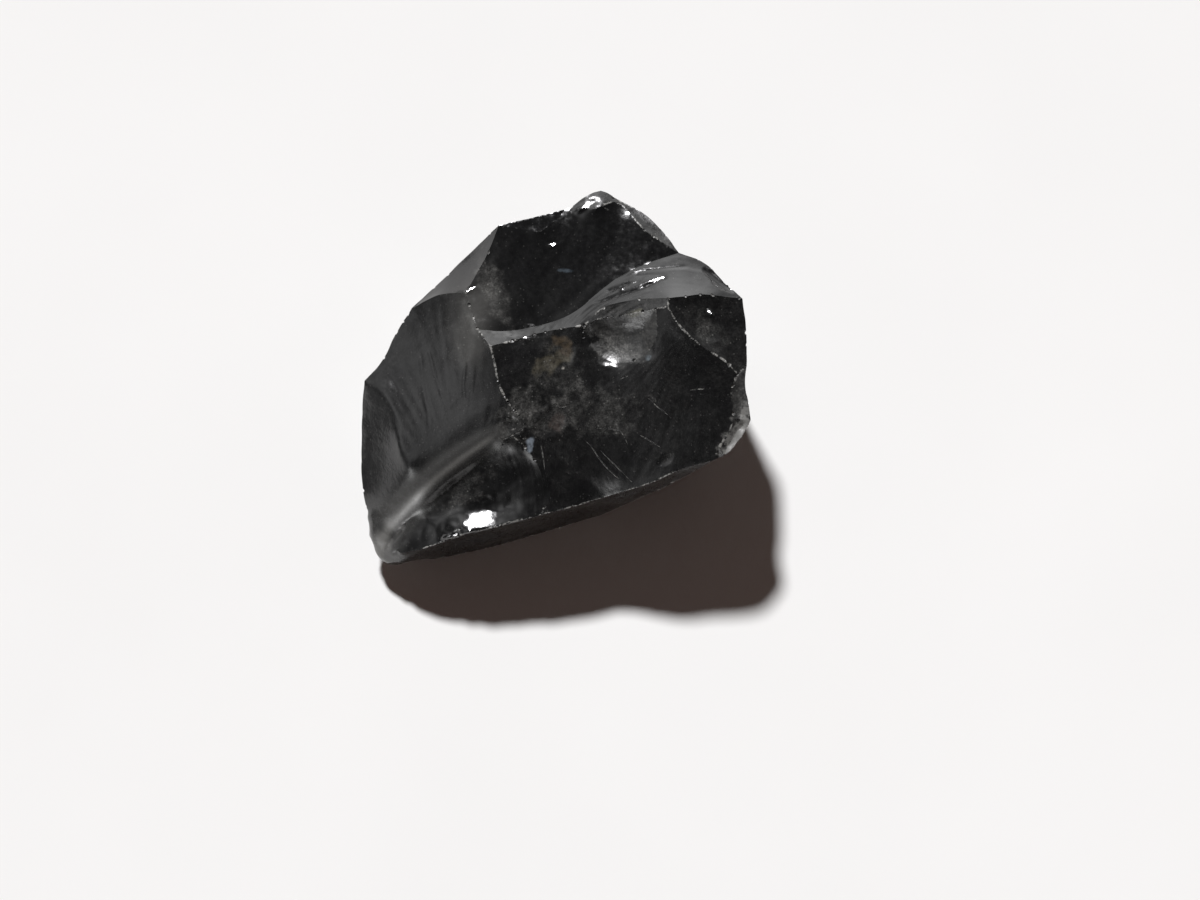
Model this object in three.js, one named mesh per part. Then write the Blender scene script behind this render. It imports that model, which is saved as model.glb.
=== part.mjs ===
// A rough fragment of black spinel, about 20 mm across, lying on its flat broken foot.
//
// Spinel has no good cleavage. It breaks like glass, in hollow shell-shaped scars that meet in sharp,
// slightly chipped ridges, so the stone is built the way it broke: named corners, ridges that run between
// them, and one fracture face stretched over each ring of ridges and hollowed by a set depth.
//
// Frame: millimetres, +Z up. The origin is the centre of the stone's plan, on the surface it lies on.
// +X is to the right and +Y is to the back, with the tapering nose at the front left.

import * as THREE from "three";
import { mergeVertices } from "three/addons/utils/BufferGeometryUtils.js";

// ---- Driving dimensions, mm ------------------------------------------------------------------------

const FACE_GRAIN = 0.34; // edge of a triangle on the faces that are seen
const WALL_GRAIN = 0.9; // the same on the sides
const FOOT_GRAIN = 1.4; // and underneath
const RIDGE_CHIPPING = 0.015; // how far a ridge strays from its smooth line

// ---- Corners, where three or more ridges meet: [x, y, z] -------------------------------------------

const corner = {
  // the rim of the stone, clockwise from the spur on its left side
  spur: [-9.75, 0.45, 5.6],
  shoulder: [-7.35, 4.05, 6.4],
  backLeft: [-2.9, 7.75, 8.8],
  crestLeft: [0.7, 8.6, 9.0],
  crestRight: [3.15, 8.95, 9.2],
  step: [6.15, 6.1, 9.65],
  rightCorner: [9.3, 3.6, 10.2],
  rightDent: [9.5, 0.25, 9.75],
  chipTip: [9.7, -2.4, 9.3],
  frontRight: [7.8, -4.35, 8.75],
  dip: [2.45, -5.75, 6.5],
  pocketRight: [-0.7, -6.55, 6.1],
  pocketTip: [-7.95, -8.0, 3.2],
  noseFront: [-8.25, -8.25, 1.3],
  lipFoot: [-9.6, -6.05, 2.5],

  // inside the rim, on the upper side
  saddle: [-4.55, 4.4, 8.3],
  forkBack: [-3.95, 2.45, 8.4],
  fork: [-3.3, 1.5, 8.8],
  browRight: [5.6, 3.45, 10.9],
  summit: [5.55, 3.0, 10.95],
  shellLeft: [1.4, 2.4, 9.5],
  shellRight: [4.95, 2.95, 10.7],
  shellFoot: [3.0, 0.55, 9.12],
  hub: [-1.6, -2.1, 7.85],
  pocketTop: [-1.4, -3.5, 7.2],
  lipMiddle: [-6.6, -4.65, 6.15],
  flakeTop: [9.05, -0.2, 9.95],
  flakeFoot: [8.9, -2.35, 9.45],
  bevelMiddle: [-0.8, 7.3, 9.05],
  crestMiddle: [2.0, 8.45, 9.45],
  brimMiddle: [4.45, 7.25, 9.6],

  // the knee, where the sides turn in towards the foot
  kneeNose: [-7.8, -8.1, 0.7],
  kneeDip: [2.2, -5.7, 1.5],
  kneeChip: [8.7, -1.6, 3.2],
  kneeRight: [8.4, 3.4, 3.6],
  kneeStep: [5.6, 5.6, 2.8],
  kneeCrest: [2.8, 7.9, 3.0],
  kneeBack: [-3.2, 7.0, 3.4],
  kneeShoulder: [-6.9, 3.4, 2.8],
  kneeSpur: [-9.1, -1.5, 2.2],

  // the foot, a flat face that the stone lies on
  footNose: [-7.2, -7.5, 0],
  footDip: [1.8, -5.2, 0],
  footChip: [6.8, -2.6, 0],
  footRight: [7.0, 2.4, 0],
  footCrest: [2.0, 6.2, 0],
  footShoulder: [-4.4, 4.0, 0],
  footSpur: [-7.6, -1.0, 0],
};

// ---- Points that a curved ridge passes through between its two corners -----------------------------

const bends = {
  // round the rim
  "spur shoulder": [[-8.9, 1.35, 5.85], [-8.15, 2.8, 6.1]],
  "shoulder backLeft": [[-5.9, 5.35, 6.7], [-4.35, 6.65, 7.6]],
  "backLeft crestLeft": [[-1.05, 8.15, 8.95]],
  "crestLeft crestRight": [[1.55, 9.2, 9.2], [2.3, 9.45, 9.15]],
  "crestRight step": [[4.45, 8.2, 9.3], [5.4, 7.2, 9.45]],
  "step rightCorner": [[7.4, 5.55, 9.8], [8.35, 4.6, 10.0]],
  "rightCorner rightDent": [[9.5, 2.05, 9.85]],
  "rightDent chipTip": [[9.4, -0.6, 9.65], [9.6, -1.6, 9.5]],
  "chipTip frontRight": [[9.25, -3.3, 9.25], [8.5, -4.05, 8.95]],
  "frontRight dip": [[6.45, -4.65, 8.45], [4.7, -5.3, 7.75]],
  "dip pocketRight": [[1.6, -5.95, 6.25], [0.7, -6.25, 6.25]],
  "pocketRight pocketTip": [[-2.85, -7.1, 5.75], [-5.1, -7.55, 5.0], [-6.9, -7.95, 4.0]],
  "noseFront lipFoot": [[-9.15, -7.85, 1.3], [-9.6, -7.0, 1.6]],
  "lipFoot spur": [[-9.9, -4.65, 3.4], [-9.95, -2.8, 4.1], [-9.85, -0.4, 5.0]],

  // across the top
  "shoulder saddle": [[-5.9, 4.5, 7.4]],
  "saddle backLeft": [[-3.85, 5.65, 8.4], [-3.35, 6.6, 8.6]],
  "saddle forkBack": [[-4.3, 3.45, 8.35]],
  "forkBack step": [
    [-2.55, 2.35, 8.45], [-0.55, 2.65, 8.75], [0.95, 3.2, 9.1], [2.35, 4.35, 9.35], [3.7, 5.2, 9.55],
    [5.1, 5.75, 9.65],
  ],
  "fork shellLeft": [[-2.3, 1.75, 8.8], [-0.55, 2.2, 9.05]],
  "crestLeft crestMiddle": [[1.35, 8.35, 9.25]],
  "crestMiddle crestRight": [[2.65, 8.8, 9.35]],
  "shellLeft shellRight": [[2.2, 2.7, 9.75], [3.45, 2.8, 10.05]],
  "shellLeft browRight": [[2.4, 3.25, 9.85], [3.7, 3.5, 10.25], [4.7, 3.5, 10.6]],
  "browRight rightCorner": [[6.4, 3.55, 10.85], [7.3, 3.7, 10.7], [8.3, 3.65, 10.45]],
  "shellLeft shellFoot": [[1.35, 1.85, 9.25], [1.8, 1.3, 9.1], [2.35, 0.85, 9.05]],
  "shellFoot shellRight": [[4.05, 0.7, 9.5], [4.8, 1.3, 9.95], [5.05, 1.95, 10.3]],
  "summit flakeTop": [[6.15, 2.05, 10.8], [7.3, 1.05, 10.55], [8.5, 0.35, 10.2]],
  "flakeTop flakeFoot": [[8.8, -0.8, 9.8], [8.75, -1.55, 9.6]],
  "flakeFoot frontRight": [[8.55, -3.1, 9.25], [8.1, -3.75, 9.0]],
  "fork hub": [[-3.1, 0.75, 8.6], [-2.85, -0.4, 8.35], [-2.4, -1.25, 8.1]],
  "pocketRight pocketTop": [[-0.6, -5.6, 6.3], [-0.8, -4.45, 6.8]],

  // along the lip that runs down to the nose
  "spur lipMiddle": [[-8.7, -0.3, 6.05], [-8.1, -1.7, 6.1], [-7.95, -2.8, 6.05], [-7.65, -3.75, 6.0]],
  "hub lipMiddle": [[-2.8, -2.35, 7.55], [-4.85, -3.45, 6.85]],
  "lipMiddle lipFoot": [[-7.55, -5.15, 5.3], [-8.45, -5.7, 4.2]],
  "pocketTop pocketTip": [
    [-2.65, -3.4, 6.95], [-3.85, -3.75, 6.4], [-4.85, -4.35, 5.85], [-5.9, -5.15, 5.3],
    [-6.65, -5.65, 4.7], [-7.4, -6.35, 3.9], [-7.8, -7.1, 3.35],
  ],

  // down the sides
  "kneeDip frontRight": [[4.2, -5.3, 4.0], [5.8, -5.0, 6.2]],
  "kneeNose kneeDip": [[-3.8, -7.4, 1.2]],
  "kneeNose kneeSpur": [[-9.0, -5.5, 1.2]],
};

// ---- Fracture faces: the corners round each, and how deep it is hollowed (a bulge is negative) ------

const topFaces = [
  { name: "left scar", rim: "spur shoulder saddle forkBack fork hub lipMiddle", hollow: 0.08 },
  { name: "left shelf", rim: "spur lipMiddle lipFoot", hollow: 0.03 },
  { name: "shoulder bevel", rim: "shoulder backLeft saddle", hollow: 0.05 },
  { name: "back bevel", rim: "backLeft crestLeft bevelMiddle", hollow: 0 },
  { name: "crest", rim: "crestLeft crestRight crestMiddle", hollow: -0.06 },
  { name: "brim", rim: "crestRight step brimMiddle", hollow: 0.05 },
  {
    name: "basin",
    rim: "forkBack saddle backLeft bevelMiddle crestLeft crestMiddle crestRight brimMiddle step",
    hollow: 0.06,
  },
  { name: "swoosh", rim: "forkBack step rightCorner browRight shellLeft fork", hollow: -0.04 },
  { name: "brow", rim: "shellLeft browRight summit shellRight", hollow: 0.03 },
  {
    name: "plateau",
    rim:
      "fork shellLeft shellFoot shellRight summit flakeTop flakeFoot frontRight " +
      "dip pocketRight pocketTop hub",
    hollow: -0.1,
  },
  { name: "shell", rim: "shellLeft shellRight shellFoot", hollow: 0.35 },
  { name: "right scar", rim: "summit browRight rightCorner rightDent flakeTop", hollow: 0.25 },
  { name: "flake", rim: "flakeTop rightDent chipTip flakeFoot", hollow: 0.1 },
  { name: "chip", rim: "flakeFoot chipTip frontRight", hollow: 0.1 },
  { name: "pocket", rim: "pocketTop pocketRight pocketTip", hollow: 0.25 },
  { name: "lip", rim: "hub pocketTop pocketTip noseFront lipFoot lipMiddle", hollow: -0.36 },
];

const sideFaces = [
  { name: "front wall", rim: "noseFront pocketTip pocketRight dip kneeDip kneeNose", hollow: 0.2 },
  { name: "front right wall", rim: "dip frontRight kneeDip", hollow: 0.15 },
  { name: "undercut", rim: "kneeDip frontRight chipTip kneeChip footChip footDip", hollow: 0.4 },
  { name: "right wall", rim: "chipTip rightDent rightCorner kneeRight kneeChip", hollow: 0.4 },
  { name: "step wall right", rim: "rightCorner step kneeStep kneeRight", hollow: 0.3 },
  { name: "step wall left", rim: "step crestRight kneeCrest kneeStep", hollow: 0.3 },
  { name: "back wall", rim: "crestRight crestLeft backLeft kneeBack kneeCrest", hollow: 0.6 },
  { name: "bevel wall", rim: "backLeft shoulder kneeShoulder kneeBack", hollow: 0.3 },
  { name: "spur wall", rim: "shoulder spur kneeSpur kneeShoulder", hollow: 0.3 },
  { name: "left wall", rim: "spur lipFoot noseFront kneeNose kneeSpur", hollow: 0.5 },
];

const lowFaces = [
  { name: "front foot", rim: "kneeNose kneeDip footDip footNose", hollow: 0.05 },
  { name: "right foot", rim: "kneeChip kneeRight footRight footChip", hollow: 0.2 },
  { name: "step foot", rim: "kneeRight kneeStep kneeCrest footCrest footRight", hollow: 0.2 },
  { name: "back foot", rim: "kneeCrest kneeBack kneeShoulder footShoulder footCrest", hollow: 0.3 },
  { name: "left foot", rim: "kneeShoulder kneeSpur footSpur footShoulder", hollow: 0.2 },
  { name: "nose foot", rim: "kneeSpur kneeNose footNose footSpur", hollow: 0.2 },
  { name: "foot", rim: "footNose footDip footChip footRight footCrest footShoulder footSpur", hollow: 0 },
];

// ---- Ridges ----------------------------------------------------------------------------------------

const MIDDLE = new THREE.Vector3(0, 0, 4.5); // a point deep inside the stone

// A repeatable number from -1 to 1 for each whole number.
function scatter(n) {
  const s = Math.sin(n * 127.1 + 311.7) * 43758.5453;
  return 2 * (s - Math.floor(s)) - 1;
}

// Every ridge is sampled once, so that the two faces beside it share the same points.
const sampled = new Map();

function ridge(from, to) {
  const forward = from + " " + to;
  const backward = to + " " + from;
  if (sampled.has(forward)) return sampled.get(forward);
  if (sampled.has(backward)) return [...sampled.get(backward)].reverse();
  const via = bends[forward] ?? [...(bends[backward] ?? [])].reverse();
  const knots = [corner[from], ...via, corner[to]].map((p) => new THREE.Vector3(...p));
  const line = new THREE.CatmullRomCurve3(knots, false, "centripetal");
  const low = /^(knee|foot)/;
  const grain = low.test(from) || low.test(to) ? WALL_GRAIN : FACE_GRAIN;
  const steps = Math.max(2, Math.round(line.getLength() / grain));
  const points = line.getSpacedPoints(steps);
  const onTheFoot = corner[from][2] === 0 && corner[to][2] === 0;
  for (let i = 1; i < steps; i++) {
    const seed = sampled.size * 1000 + i * 3;
    points[i].x += RIDGE_CHIPPING * scatter(seed);
    points[i].y += RIDGE_CHIPPING * scatter(seed + 1);
    if (!onTheFoot) points[i].z += RIDGE_CHIPPING * scatter(seed + 2);
  }
  sampled.set(forward, points);
  return points;
}

// The closed line of points through a list of corners, without repeating the first.
function loopThrough(names) {
  const list = names.split(" ");
  return list.flatMap((name, i) => ridge(name, list[(i + 1) % list.length]).slice(0, -1));
}

// ---- Faces -----------------------------------------------------------------------------------------

// Newell's normal of a closed line, which also holds for a line that isn't flat.
function normalOf(points) {
  const n = new THREE.Vector3();
  points.forEach((p, i) => {
    const q = points[(i + 1) % points.length];
    n.x += (p.y - q.y) * (p.z + q.z);
    n.y += (p.z - q.z) * (p.x + q.x);
    n.z += (p.x - q.x) * (p.y + q.y);
  });
  return n.normalize();
}

function middleOf(points) {
  return points.reduce((sum, p) => sum.add(p), new THREE.Vector3()).divideScalar(points.length);
}

const twiceArea = (a, b, c) => (b.x - a.x) * (c.y - a.y) - (b.y - a.y) * (c.x - a.x);

// Each edge of a flat triangle mesh, with the triangles on its two sides.
function edgesOf(triangles) {
  const edges = new Map();
  triangles.forEach((t, index) => {
    for (let k = 0; k < 3; k++) {
      const a = t[k];
      const b = t[(k + 1) % 3];
      const key = Math.min(a, b) + "," + Math.max(a, b);
      if (!edges.has(key)) edges.set(key, { a, b, sides: [] });
      edges.get(key).sides.push(index);
    }
  });
  return [...edges.values()];
}

const cornerOpposite = (triangle, edge) => triangle.find((v) => v !== edge.a && v !== edge.b);

// Halves every inner edge that is longer than the grain allows, longest first, no triangle twice.
function splitLongEdges(flat, triangles, grain) {
  const length = (e) => flat[e.a].distanceTo(flat[e.b]);
  const long = edgesOf(triangles)
    .filter((e) => e.sides.length === 2 && length(e) > 1.35 * grain)
    .sort((e, f) => length(f) - length(e));
  const used = new Set();
  for (const e of long) {
    if (e.sides.some((s) => used.has(s))) continue;
    const middle = flat.push(flat[e.a].clone().lerp(flat[e.b], 0.5)) - 1;
    for (const s of e.sides) {
      const t = triangles[s];
      triangles[s] = t.map((v) => (v === e.a ? middle : v));
      triangles.push(t.map((v) => (v === e.b ? middle : v)));
      used.add(s);
    }
  }
  return used.size > 0;
}

// Turns an edge round where that makes its two triangles rounder (Delaunay's rule).
function flipThinTriangles(flat, triangles) {
  const cotangent = (p, a, b) => {
    const u = flat[a].clone().sub(flat[p]);
    const v = flat[b].clone().sub(flat[p]);
    return u.dot(v) / Math.max(1e-9, Math.abs(u.cross(v)));
  };
  for (let pass = 0; pass < 8; pass++) {
    const used = new Set();
    for (const e of edgesOf(triangles)) {
      if (e.sides.length !== 2 || e.sides.some((s) => used.has(s))) continue;
      const [s, t] = e.sides;
      const p = cornerOpposite(triangles[s], e);
      const q = cornerOpposite(triangles[t], e);
      if (cotangent(p, e.a, e.b) + cotangent(q, e.a, e.b) > -1e-6) continue;
      const first = triangles[s].map((v) => (v === e.a ? q : v));
      const second = triangles[t].map((v) => (v === e.b ? p : v));
      const turned = [first, second].map((tri) => twiceArea(...tri.map((v) => flat[v])));
      if (Math.min(...turned) < 1e-6) continue;
      triangles[s] = first;
      triangles[t] = second;
      used.add(s).add(t);
    }
    if (!used.size) return;
  }
}

function neighboursOf(count, triangles) {
  const near = Array.from({ length: count }, () => new Set());
  for (const { a, b } of edgesOf(triangles)) {
    near[a].add(b);
    near[b].add(a);
  }
  return near.map((set) => [...set]);
}

// Moves each inner point to the middle of its neighbours, unless that would fold a triangle over.
function evenOut(flat, triangles, rimCount) {
  const near = neighboursOf(flat.length, triangles);
  const around = flat.map(() => []);
  triangles.forEach((t) => t.forEach((v) => around[v].push(t)));
  for (let i = rimCount; i < flat.length; i++) {
    const before = flat[i];
    flat[i] = near[i].reduce((sum, j) => sum.add(flat[j]), new THREE.Vector2());
    flat[i].divideScalar(near[i].length);
    if (around[i].some((t) => twiceArea(...t.map((v) => flat[v])) < 1e-4)) flat[i] = before;
  }
}

// Solves for a value at each inner point that is the mean of its neighbours' plus a constant push.
function relax(values, near, rimCount, push) {
  const overshoot = 1.8;
  for (let pass = 0; pass < 400; pass++) {
    for (let i = rimCount; i < values.length; i++) {
      const mean = near[i].reduce((sum, j) => sum + values[j], 0) / near[i].length;
      values[i] += overshoot * (mean + push - values[i]);
    }
  }
  return values;
}

// Stretches a skin over a rim, evenly meshed, and hollows it: deepest in the middle, nothing at the rim.
function fractureFace({ rim, hollow }, grain) {
  const rimPoints = loopThrough(rim);
  const centre = middleOf(rimPoints);
  if (normalOf(rimPoints).dot(centre.clone().sub(MIDDLE)) < 0) rimPoints.reverse();

  const up = normalOf(rimPoints);
  const across = rimPoints[0].clone().sub(centre).projectOnPlane(up).normalize();
  const along = up.clone().cross(across);
  const flat = rimPoints.map((p) => {
    const d = p.clone().sub(centre);
    return new THREE.Vector2(d.dot(across), d.dot(along));
  });

  const triangles = THREE.ShapeUtils.triangulateShape([...flat], []);
  const rimCount = rimPoints.length;
  flipThinTriangles(flat, triangles);
  for (let round = 0; round < 12; round++) {
    if (!splitLongEdges(flat, triangles, grain)) break;
    flipThinTriangles(flat, triangles);
    evenOut(flat, triangles, rimCount);
    flipThinTriangles(flat, triangles);
  }

  const near = neighboursOf(flat.length, triangles);
  const rimHeights = rimPoints.map((p) => p.clone().sub(centre).dot(up));
  const innerZeros = new Array(flat.length - rimCount).fill(0);
  const skin = relax([...rimHeights, ...innerZeros], near, rimCount, 0);
  const bowl = relax(new Array(flat.length).fill(0), near, rimCount, 1);
  const deepest = Math.max(...bowl, 1e-9);
  const points = flat.map((q, i) => {
    if (i < rimCount) return rimPoints[i];
    const height = skin[i] - (hollow * bowl[i]) / deepest;
    const point = centre.clone().addScaledVector(up, height);
    return point.addScaledVector(across, q.x).addScaledVector(along, q.y);
  });
  return triangles.flatMap((t) => t.map((v) => points[v]));
}

// ---- The stone -------------------------------------------------------------------------------------

function stoneGeometry() {
  const skins = [
    ...topFaces.map((face) => fractureFace(face, FACE_GRAIN)),
    ...sideFaces.map((face) => fractureFace(face, WALL_GRAIN)),
    ...lowFaces.map((face) => fractureFace(face, FOOT_GRAIN)),
  ];
  const soup = new THREE.BufferGeometry().setFromPoints(skins.flat());
  const geometry = mergeVertices(soup, 1e-3);
  geometry.computeBoundingBox();
  const { min, max } = geometry.boundingBox;
  geometry.translate(-(min.x + max.x) / 2, -(min.y + max.y) / 2, -min.z);
  geometry.computeVertexNormals();
  return geometry;
}

const blackSpinel = new THREE.MeshStandardMaterial({ color: 0x17171a, roughness: 0.15, metalness: 0 });

const crystal = new THREE.Mesh(stoneGeometry(), blackSpinel);
crystal.name = "spinel_crystal";

const part = new THREE.Group();
part.add(crystal);

export default part;
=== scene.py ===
# %% [markdown]
# # A rough black spinel
#
# Spinel grows as octahedra, but it has no good cleavage: hit hard, it breaks like thick glass. This stone is
# one such fragment, about 20 mm across. Each face is a fracture scar, hollowed like the inside of a shell,
# and the scars meet in sharp ridges that later knocks have nibbled.
#
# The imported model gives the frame: the true size, the place and the main scars as a coarse faceted solid.
# This script carves the fine surface out of a copy of that solid and gives it the look of black glass.

import math
from functools import partial

import bmesh
import bpy
import numpy as np
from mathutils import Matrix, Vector, bvhtree, kdtree, noise


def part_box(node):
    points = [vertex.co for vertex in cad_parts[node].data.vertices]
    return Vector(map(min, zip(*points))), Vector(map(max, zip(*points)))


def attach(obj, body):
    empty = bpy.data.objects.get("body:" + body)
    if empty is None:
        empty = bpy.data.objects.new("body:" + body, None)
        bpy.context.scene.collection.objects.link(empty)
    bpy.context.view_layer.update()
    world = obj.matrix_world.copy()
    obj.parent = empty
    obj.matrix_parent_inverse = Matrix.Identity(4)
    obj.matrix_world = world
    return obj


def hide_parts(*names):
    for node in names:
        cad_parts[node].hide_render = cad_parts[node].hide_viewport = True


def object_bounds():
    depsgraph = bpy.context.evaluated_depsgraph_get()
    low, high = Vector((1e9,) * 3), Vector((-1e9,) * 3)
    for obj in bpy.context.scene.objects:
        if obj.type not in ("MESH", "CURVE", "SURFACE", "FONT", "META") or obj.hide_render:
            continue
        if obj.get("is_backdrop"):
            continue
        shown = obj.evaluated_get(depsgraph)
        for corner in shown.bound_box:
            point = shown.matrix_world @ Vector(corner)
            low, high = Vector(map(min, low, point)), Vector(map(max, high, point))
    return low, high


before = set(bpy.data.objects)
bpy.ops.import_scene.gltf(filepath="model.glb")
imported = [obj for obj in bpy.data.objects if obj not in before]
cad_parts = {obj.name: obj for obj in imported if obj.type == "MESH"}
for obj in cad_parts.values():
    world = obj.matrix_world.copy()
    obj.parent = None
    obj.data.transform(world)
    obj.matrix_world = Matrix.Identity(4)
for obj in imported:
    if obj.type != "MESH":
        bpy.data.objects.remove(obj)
cad_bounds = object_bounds()
MM = 0.001

low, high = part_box("spinel_crystal")
print("the solid measures, in mm:", [round(v / MM, 2) for v in high - low])

# %% [markdown]
# ## Where the eye is
#
# The stone lies on a table and is seen almost from straight above, a hand's breadth away. The camera is
# given by the point it looks at, its angle above the table and its distance, all in millimetres, and a long
# lens keeps the near and far sides of the stone at the same scale.

# %% Camera
AIM = Vector((2.33, -4.25, 8.00))
EYE_ELEVATION = math.radians(78)
EYE_DISTANCE = 220.0
VIEW_WIDTH = 60.0  # mm of table across the view, at the point aimed at
SENSOR = 36.0
NEAREST_SEEN = 5.0

to_eye = Vector((0, -math.cos(EYE_ELEVATION), math.sin(EYE_ELEVATION)))
camera_data = bpy.data.cameras.new("camera")
camera_data.sensor_width = SENSOR
camera_data.lens = SENSOR * EYE_DISTANCE / VIEW_WIDTH
camera_data.clip_start = NEAREST_SEEN * MM
camera = bpy.data.objects.new("camera", camera_data)
camera.location = (AIM + EYE_DISTANCE * to_eye) * MM
camera.rotation_euler = to_eye.to_track_quat("Z", "Y").to_euler()
bpy.context.scene.collection.objects.link(camera)
bpy.context.scene.camera = camera
print("lens, mm:", round(camera_data.lens, 1))

# %% [markdown]
# ## Colours and nodes
#
# Colours are written as the hex codes that a paint shop would use, and one function turns them into the
# linear light values that the shader works in. One more function adds a node, sets its fields and plugs in
# its inputs, so that every material and every tree of nodes below reads as a short list.

# %% Two helpers
MATH, RANGE, NOISE = "ShaderNodeMath", "ShaderNodeMapRange", "ShaderNodeTexNoise"


def linear(code):
    channels = [int(code[i : i + 2], 16) / 255 for i in (1, 3, 5)]
    lights = [c / 12.92 if c <= 0.04045 else ((c + 0.055) / 1.055) ** 2.4 for c in channels]
    return (*lights, 1.0)


def add_node(tree, kind, *in_order, **named):
    """Adds a node. Names in small letters are its fields, and names with a capital are its inputs.

    Inputs can also be given in their order. An input is a plain value, an output that is linked to it, or a
    node whose first output in use is linked to it.
    """
    node = tree.nodes.new(kind)
    fields = [name for name in named if name.islower()]
    for name in fields:
        setattr(node, name, named.pop(name))
    inputs = [*enumerate(in_order), *((name.replace("_", " "), value) for name, value in named.items())]
    for key, value in inputs:
        if isinstance(value, bpy.types.Node):
            value = next(output for output in value.outputs if output.enabled)
        if isinstance(value, bpy.types.NodeSocket):
            tree.links.new(value, node.inputs[key])
        else:
            node.inputs[key].default_value = value
    return node


print("black in linear light:", [round(c, 4) for c in linear("#0b0b0c")])

# %% [markdown]
# ## Table and light
#
# The table is a sheet of pale paper. One small lamp stands behind the stone, a little to the left, and
# throws the shadow towards the front. A black mirror shows mostly what is around it, so the room matters
# more than the lamp: it is bright low down, at the back and in front, and dim overhead.

# %% Paper
PAPER_SIZE = 3000.0
PAPER_GAP = 0.02  # the paper lies a hair below the stone's foot, so the two never flicker
PAPER_CLOUDS = 18.0  # mm across: uncoated paper is a little thicker here and thinner there
PAPER_WHITES = (linear("#edeeec"), linear("#f3f4f2"))
PAPER_ROUGHNESS, PAPER_SHINE = 0.85, 0.2

# Uncoated pressed paper: the fibres scatter all the light, so it is matt, and hardly mirrors anything.
paper = bpy.data.materials.new("matt_paper")
paper.use_nodes = True
nodes = paper.node_tree
shader = nodes.nodes["Principled BSDF"]
shader.inputs["Roughness"].default_value = PAPER_ROUGHNESS
shader.inputs["Specular IOR Level"].default_value = PAPER_SHINE
place = add_node(nodes, "ShaderNodeTexCoord").outputs["Object"]
mottle = add_node(nodes, NOISE, Vector=place, Scale=1 / (PAPER_CLOUDS * MM), Detail=3.0)
thin, thick = PAPER_WHITES
shade = add_node(nodes, "ShaderNodeMix", data_type="RGBA", Factor=mottle, A=thin, B=thick)
nodes.links.new(shade.outputs[2], shader.inputs["Base Color"])

half = PAPER_SIZE / 2 * MM
sheet = bpy.data.meshes.new("paper")
corners = [(-half, -half), (half, -half), (half, half), (-half, half)]
sheet.from_pydata([(x, y, -PAPER_GAP * MM) for x, y in corners], [], [(0, 1, 2, 3)])
sheet.materials.append(paper)
table = bpy.data.objects.new("paper", sheet)
bpy.context.scene.collection.objects.link(table)
table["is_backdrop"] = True
print("paper, mm across:", PAPER_SIZE)


# %% Lamp
def towards(azimuth, elevation):
    """A unit vector: azimuth 0 is the back, 90 the left, 180 the front; degrees."""
    a, e = math.radians(azimuth), math.radians(elevation)
    return Vector((-math.sin(a) * math.cos(e), math.cos(a) * math.cos(e), math.sin(e)))


LAMP = (16.5, 53)  # azimuth and elevation
LAMP_POWER, LAMP_WIDTH = 3.98, math.radians(5)
LAMP_COLOUR = linear("#fefdff")
lamp_data = bpy.data.lights.new("lamp", "SUN")
lamp_data.energy = LAMP_POWER
lamp_data.angle = LAMP_WIDTH
lamp_data.color = LAMP_COLOUR[:3]
lamp = bpy.data.objects.new("lamp", lamp_data)
lamp.rotation_euler = towards(*LAMP).to_track_quat("Z", "Y").to_euler()
bpy.context.scene.collection.objects.link(lamp)
print("the lamp stands towards:", [round(v, 2) for v in towards(*LAMP)])

# %% Room
# Each entry is a soft glow in the room: its azimuth and elevation, how far from its middle it has faded to
# half, in degrees, and how bright it is.
GLOWS = [
    ("back windows", 0, 14, 20, 2.9),
    ("back left window", 42, 26, 15, 1.4),
    ("left wall", 90, 44, 14, 1.0),
    ("low left", 105, 4, 12, 0.2),
    ("front left", 122, 30, 10, 0.30),
    ("front window", 147, 7, 10, 7.5),
    ("right wall", 265, 12, 13, 0.35),
]
ROOM_DIM = 0.04
ROOM_FILL = 0.058  # what the whole room adds to the light on matt surfaces
FILL_COLOUR = linear("#ffd9ce")
SEEN_COLOUR = linear("#dcdcde")  # of the room itself, past the edge of the paper

world = bpy.data.worlds.new("room")
bpy.context.scene.world = world
world.use_nodes = True
world.node_tree.nodes.clear()
add = partial(add_node, world.node_tree)
direction = add("ShaderNodeTexCoord").outputs["Generated"]
total = ROOM_DIM
for _, azimuth, elevation, half_way, strength in GLOWS:
    facing = add("ShaderNodeVectorMath", direction, towards(azimuth, elevation), operation="DOT_PRODUCT")
    fade = math.log(2) / (1 - math.cos(math.radians(half_way)))
    lobe = add(MATH, add(MATH, facing, fade, -fade, operation="MULTIPLY_ADD"), operation="EXPONENT")
    total = add(MATH, lobe, strength, total, operation="MULTIPLY_ADD")
rays = add("ShaderNodeLightPath").outputs
mirrored = add("ShaderNodeBackground", Strength=total)
fill = add("ShaderNodeBackground", Color=FILL_COLOUR, Strength=ROOM_FILL)
seen = add("ShaderNodeBackground", Color=SEEN_COLOUR)
lit = add("ShaderNodeMixShader", rays["Is Glossy Ray"], fill, mirrored)
add("ShaderNodeOutputWorld", Surface=add("ShaderNodeMixShader", rays["Is Camera Ray"], lit, seen))

bpy.context.scene.view_settings.view_transform = "Standard"
print("glows in the room:", len(GLOWS))

# %% [markdown]
# ## The stone's surface
#
# The solid's facets are half a millimetre wide, far too coarse for a mirror finish. Loop's rule splits each
# triangle into four and eases the new points onto a smooth surface, but a stone's ridges must stay sharp:
# along them the rule only looks left and right along the ridge. A ridge is an edge where the solid turns by
# more than a set angle.

# %% Copy of the solid, in millimetres
RIDGE_ANGLE = math.radians(13)


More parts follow.
